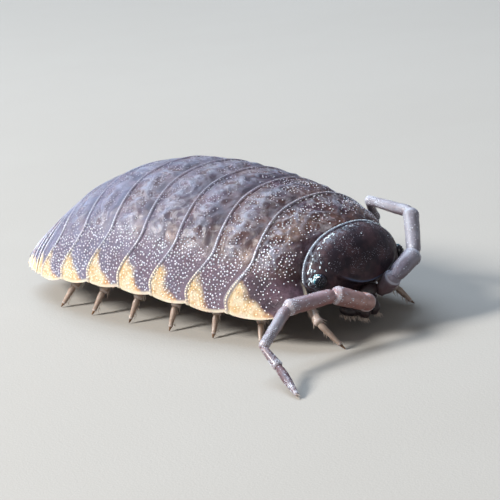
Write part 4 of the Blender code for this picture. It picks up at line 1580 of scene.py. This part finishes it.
def make_mouth():
    """Clypeus, jaws and the lobed plates under the head, with a fringe of short bristles."""
    sources = [(lobe(centre, radii), mouth_brown) for centre, radii in FACE_LOBES]
    for side, _ in SIDES:
        for k, (centre, radii) in enumerate(MOUTH_LOBES):
            spot = Vector((centre[0], side * centre[1], centre[2]))
            sources.append((lobe(spot, radii), mouth_brown))
            start = spot + Vector((-radii[0], side * radii[1] * 0.5, -radii[2] * 0.3))
            end = spot + Vector((radii[0], side * radii[1] * 0.5, -radii[2] * 0.3))
            fringe = bristles(start, end, radii[2] * 0.6, 22, 0.14, 300 + k, 0.5, (0.2, 0, -1), 0.3)
            sources.append((fringe, bristle))
    piece("mouth_plates", sources, ["mouthparts"])


FLOOR_HALF = 0.6  # metres


def make_stage():
    """The plain pale floor."""
    floor = bpy.data.meshes.new("floor")
    bm = bmesh.new()
    bmesh.ops.create_grid(bm, x_segments=1, y_segments=1, size=FLOOR_HALF)
    bm.to_mesh(floor)
    bm.free()
    floor.materials.append(floor_paper)
    item = bpy.data.objects.new("floor", floor)
    bpy.context.scene.collection.objects.link(item)


# The camera, fitted to the photograph: its place and its right and up directions in the body's axes.
CAMERA_AT = (58.5527, -53.4730, 23.5354)
CAMERA_RIGHT = (0.702230, 0.704445, -0.103097)
CAMERA_UP = (-0.119784, 0.259649, 0.958245)
CAMERA_FOCAL_PIXELS = 2519.94
PHOTO_WIDTH = 500
SENSOR = 36.0


def make_camera():
    """The camera at the photograph's viewing angle."""
    data = bpy.data.cameras.new("camera")
    data.sensor_width = SENSOR
    data.lens = CAMERA_FOCAL_PIXELS * SENSOR / PHOTO_WIDTH
    data.clip_start = 0.001
    data.clip_end = 5.0
    camera = bpy.data.objects.new("camera", data)
    bpy.context.scene.collection.objects.link(camera)
    right, up = Vector(CAMERA_RIGHT), Vector(CAMERA_UP)
    turn = Matrix((right, up, right.cross(up))).transposed().to_4x4()
    camera.matrix_world = Matrix.Translation(Vector(CAMERA_AT) * MM + ORIGIN) @ turn
    bpy.context.scene.camera = camera


# Soft lights: name, azimuth in degrees from +X towards +Y, height in degrees, distance, size, watts, colour.
LIGHTS = (
    ("key_light", 238, 36, 0.16, 0.05, 0.50, (1.0, 0.98, 0.95)),
    ("sky_light", 165, 62, 0.16, 0.14, 0.30, (0.66, 0.81, 1.0)),
    ("front_fill", 320, 22, 0.20, 0.12, 0.04, (1.0, 0.95, 0.90)),
)
LIT_POINT = (0.0, 0.0, 2.0)
ROOM_COLOUR = (0.80, 0.84, 0.92, 1.0)
ROOM_STRENGTH = 0.30


def make_lights():
    """Three soft lights round the animal and the pale light of the room."""
    target = Vector(LIT_POINT) * MM
    for name, azimuth, height, distance, size, watts, colour in LIGHTS:
        data = bpy.data.lights.new(name, "AREA")
        data.shape = "DISK"
        data.size = size
        data.energy = watts
        data.color = colour
        item = bpy.data.objects.new(name, data)
        bpy.context.scene.collection.objects.link(item)
        a, h = math.radians(azimuth), math.radians(height)
        away = Vector((math.cos(a) * math.cos(h), math.sin(a) * math.cos(h), math.sin(h)))
        item.location = target + away * distance
        item.rotation_mode = "QUATERNION"
        item.rotation_quaternion = away.to_track_quat("Z", "Y")
    world = bpy.data.worlds.new("studio")
    world.use_nodes = True
    background = world.node_tree.nodes["Background"]
    background.inputs["Color"].default_value = ROOM_COLOUR
    background.inputs["Strength"].default_value = ROOM_STRENGTH
    bpy.context.scene.world = world
    bpy.context.scene.view_settings.view_transform = "Standard"


make_camera()
make_lights()
make_stage()
make_walking_plates()
make_tail_plates()
make_tail_end()
make_head()
make_eyes()
make_feelers()
make_legs()
make_belly()
make_gills()
make_mouth()
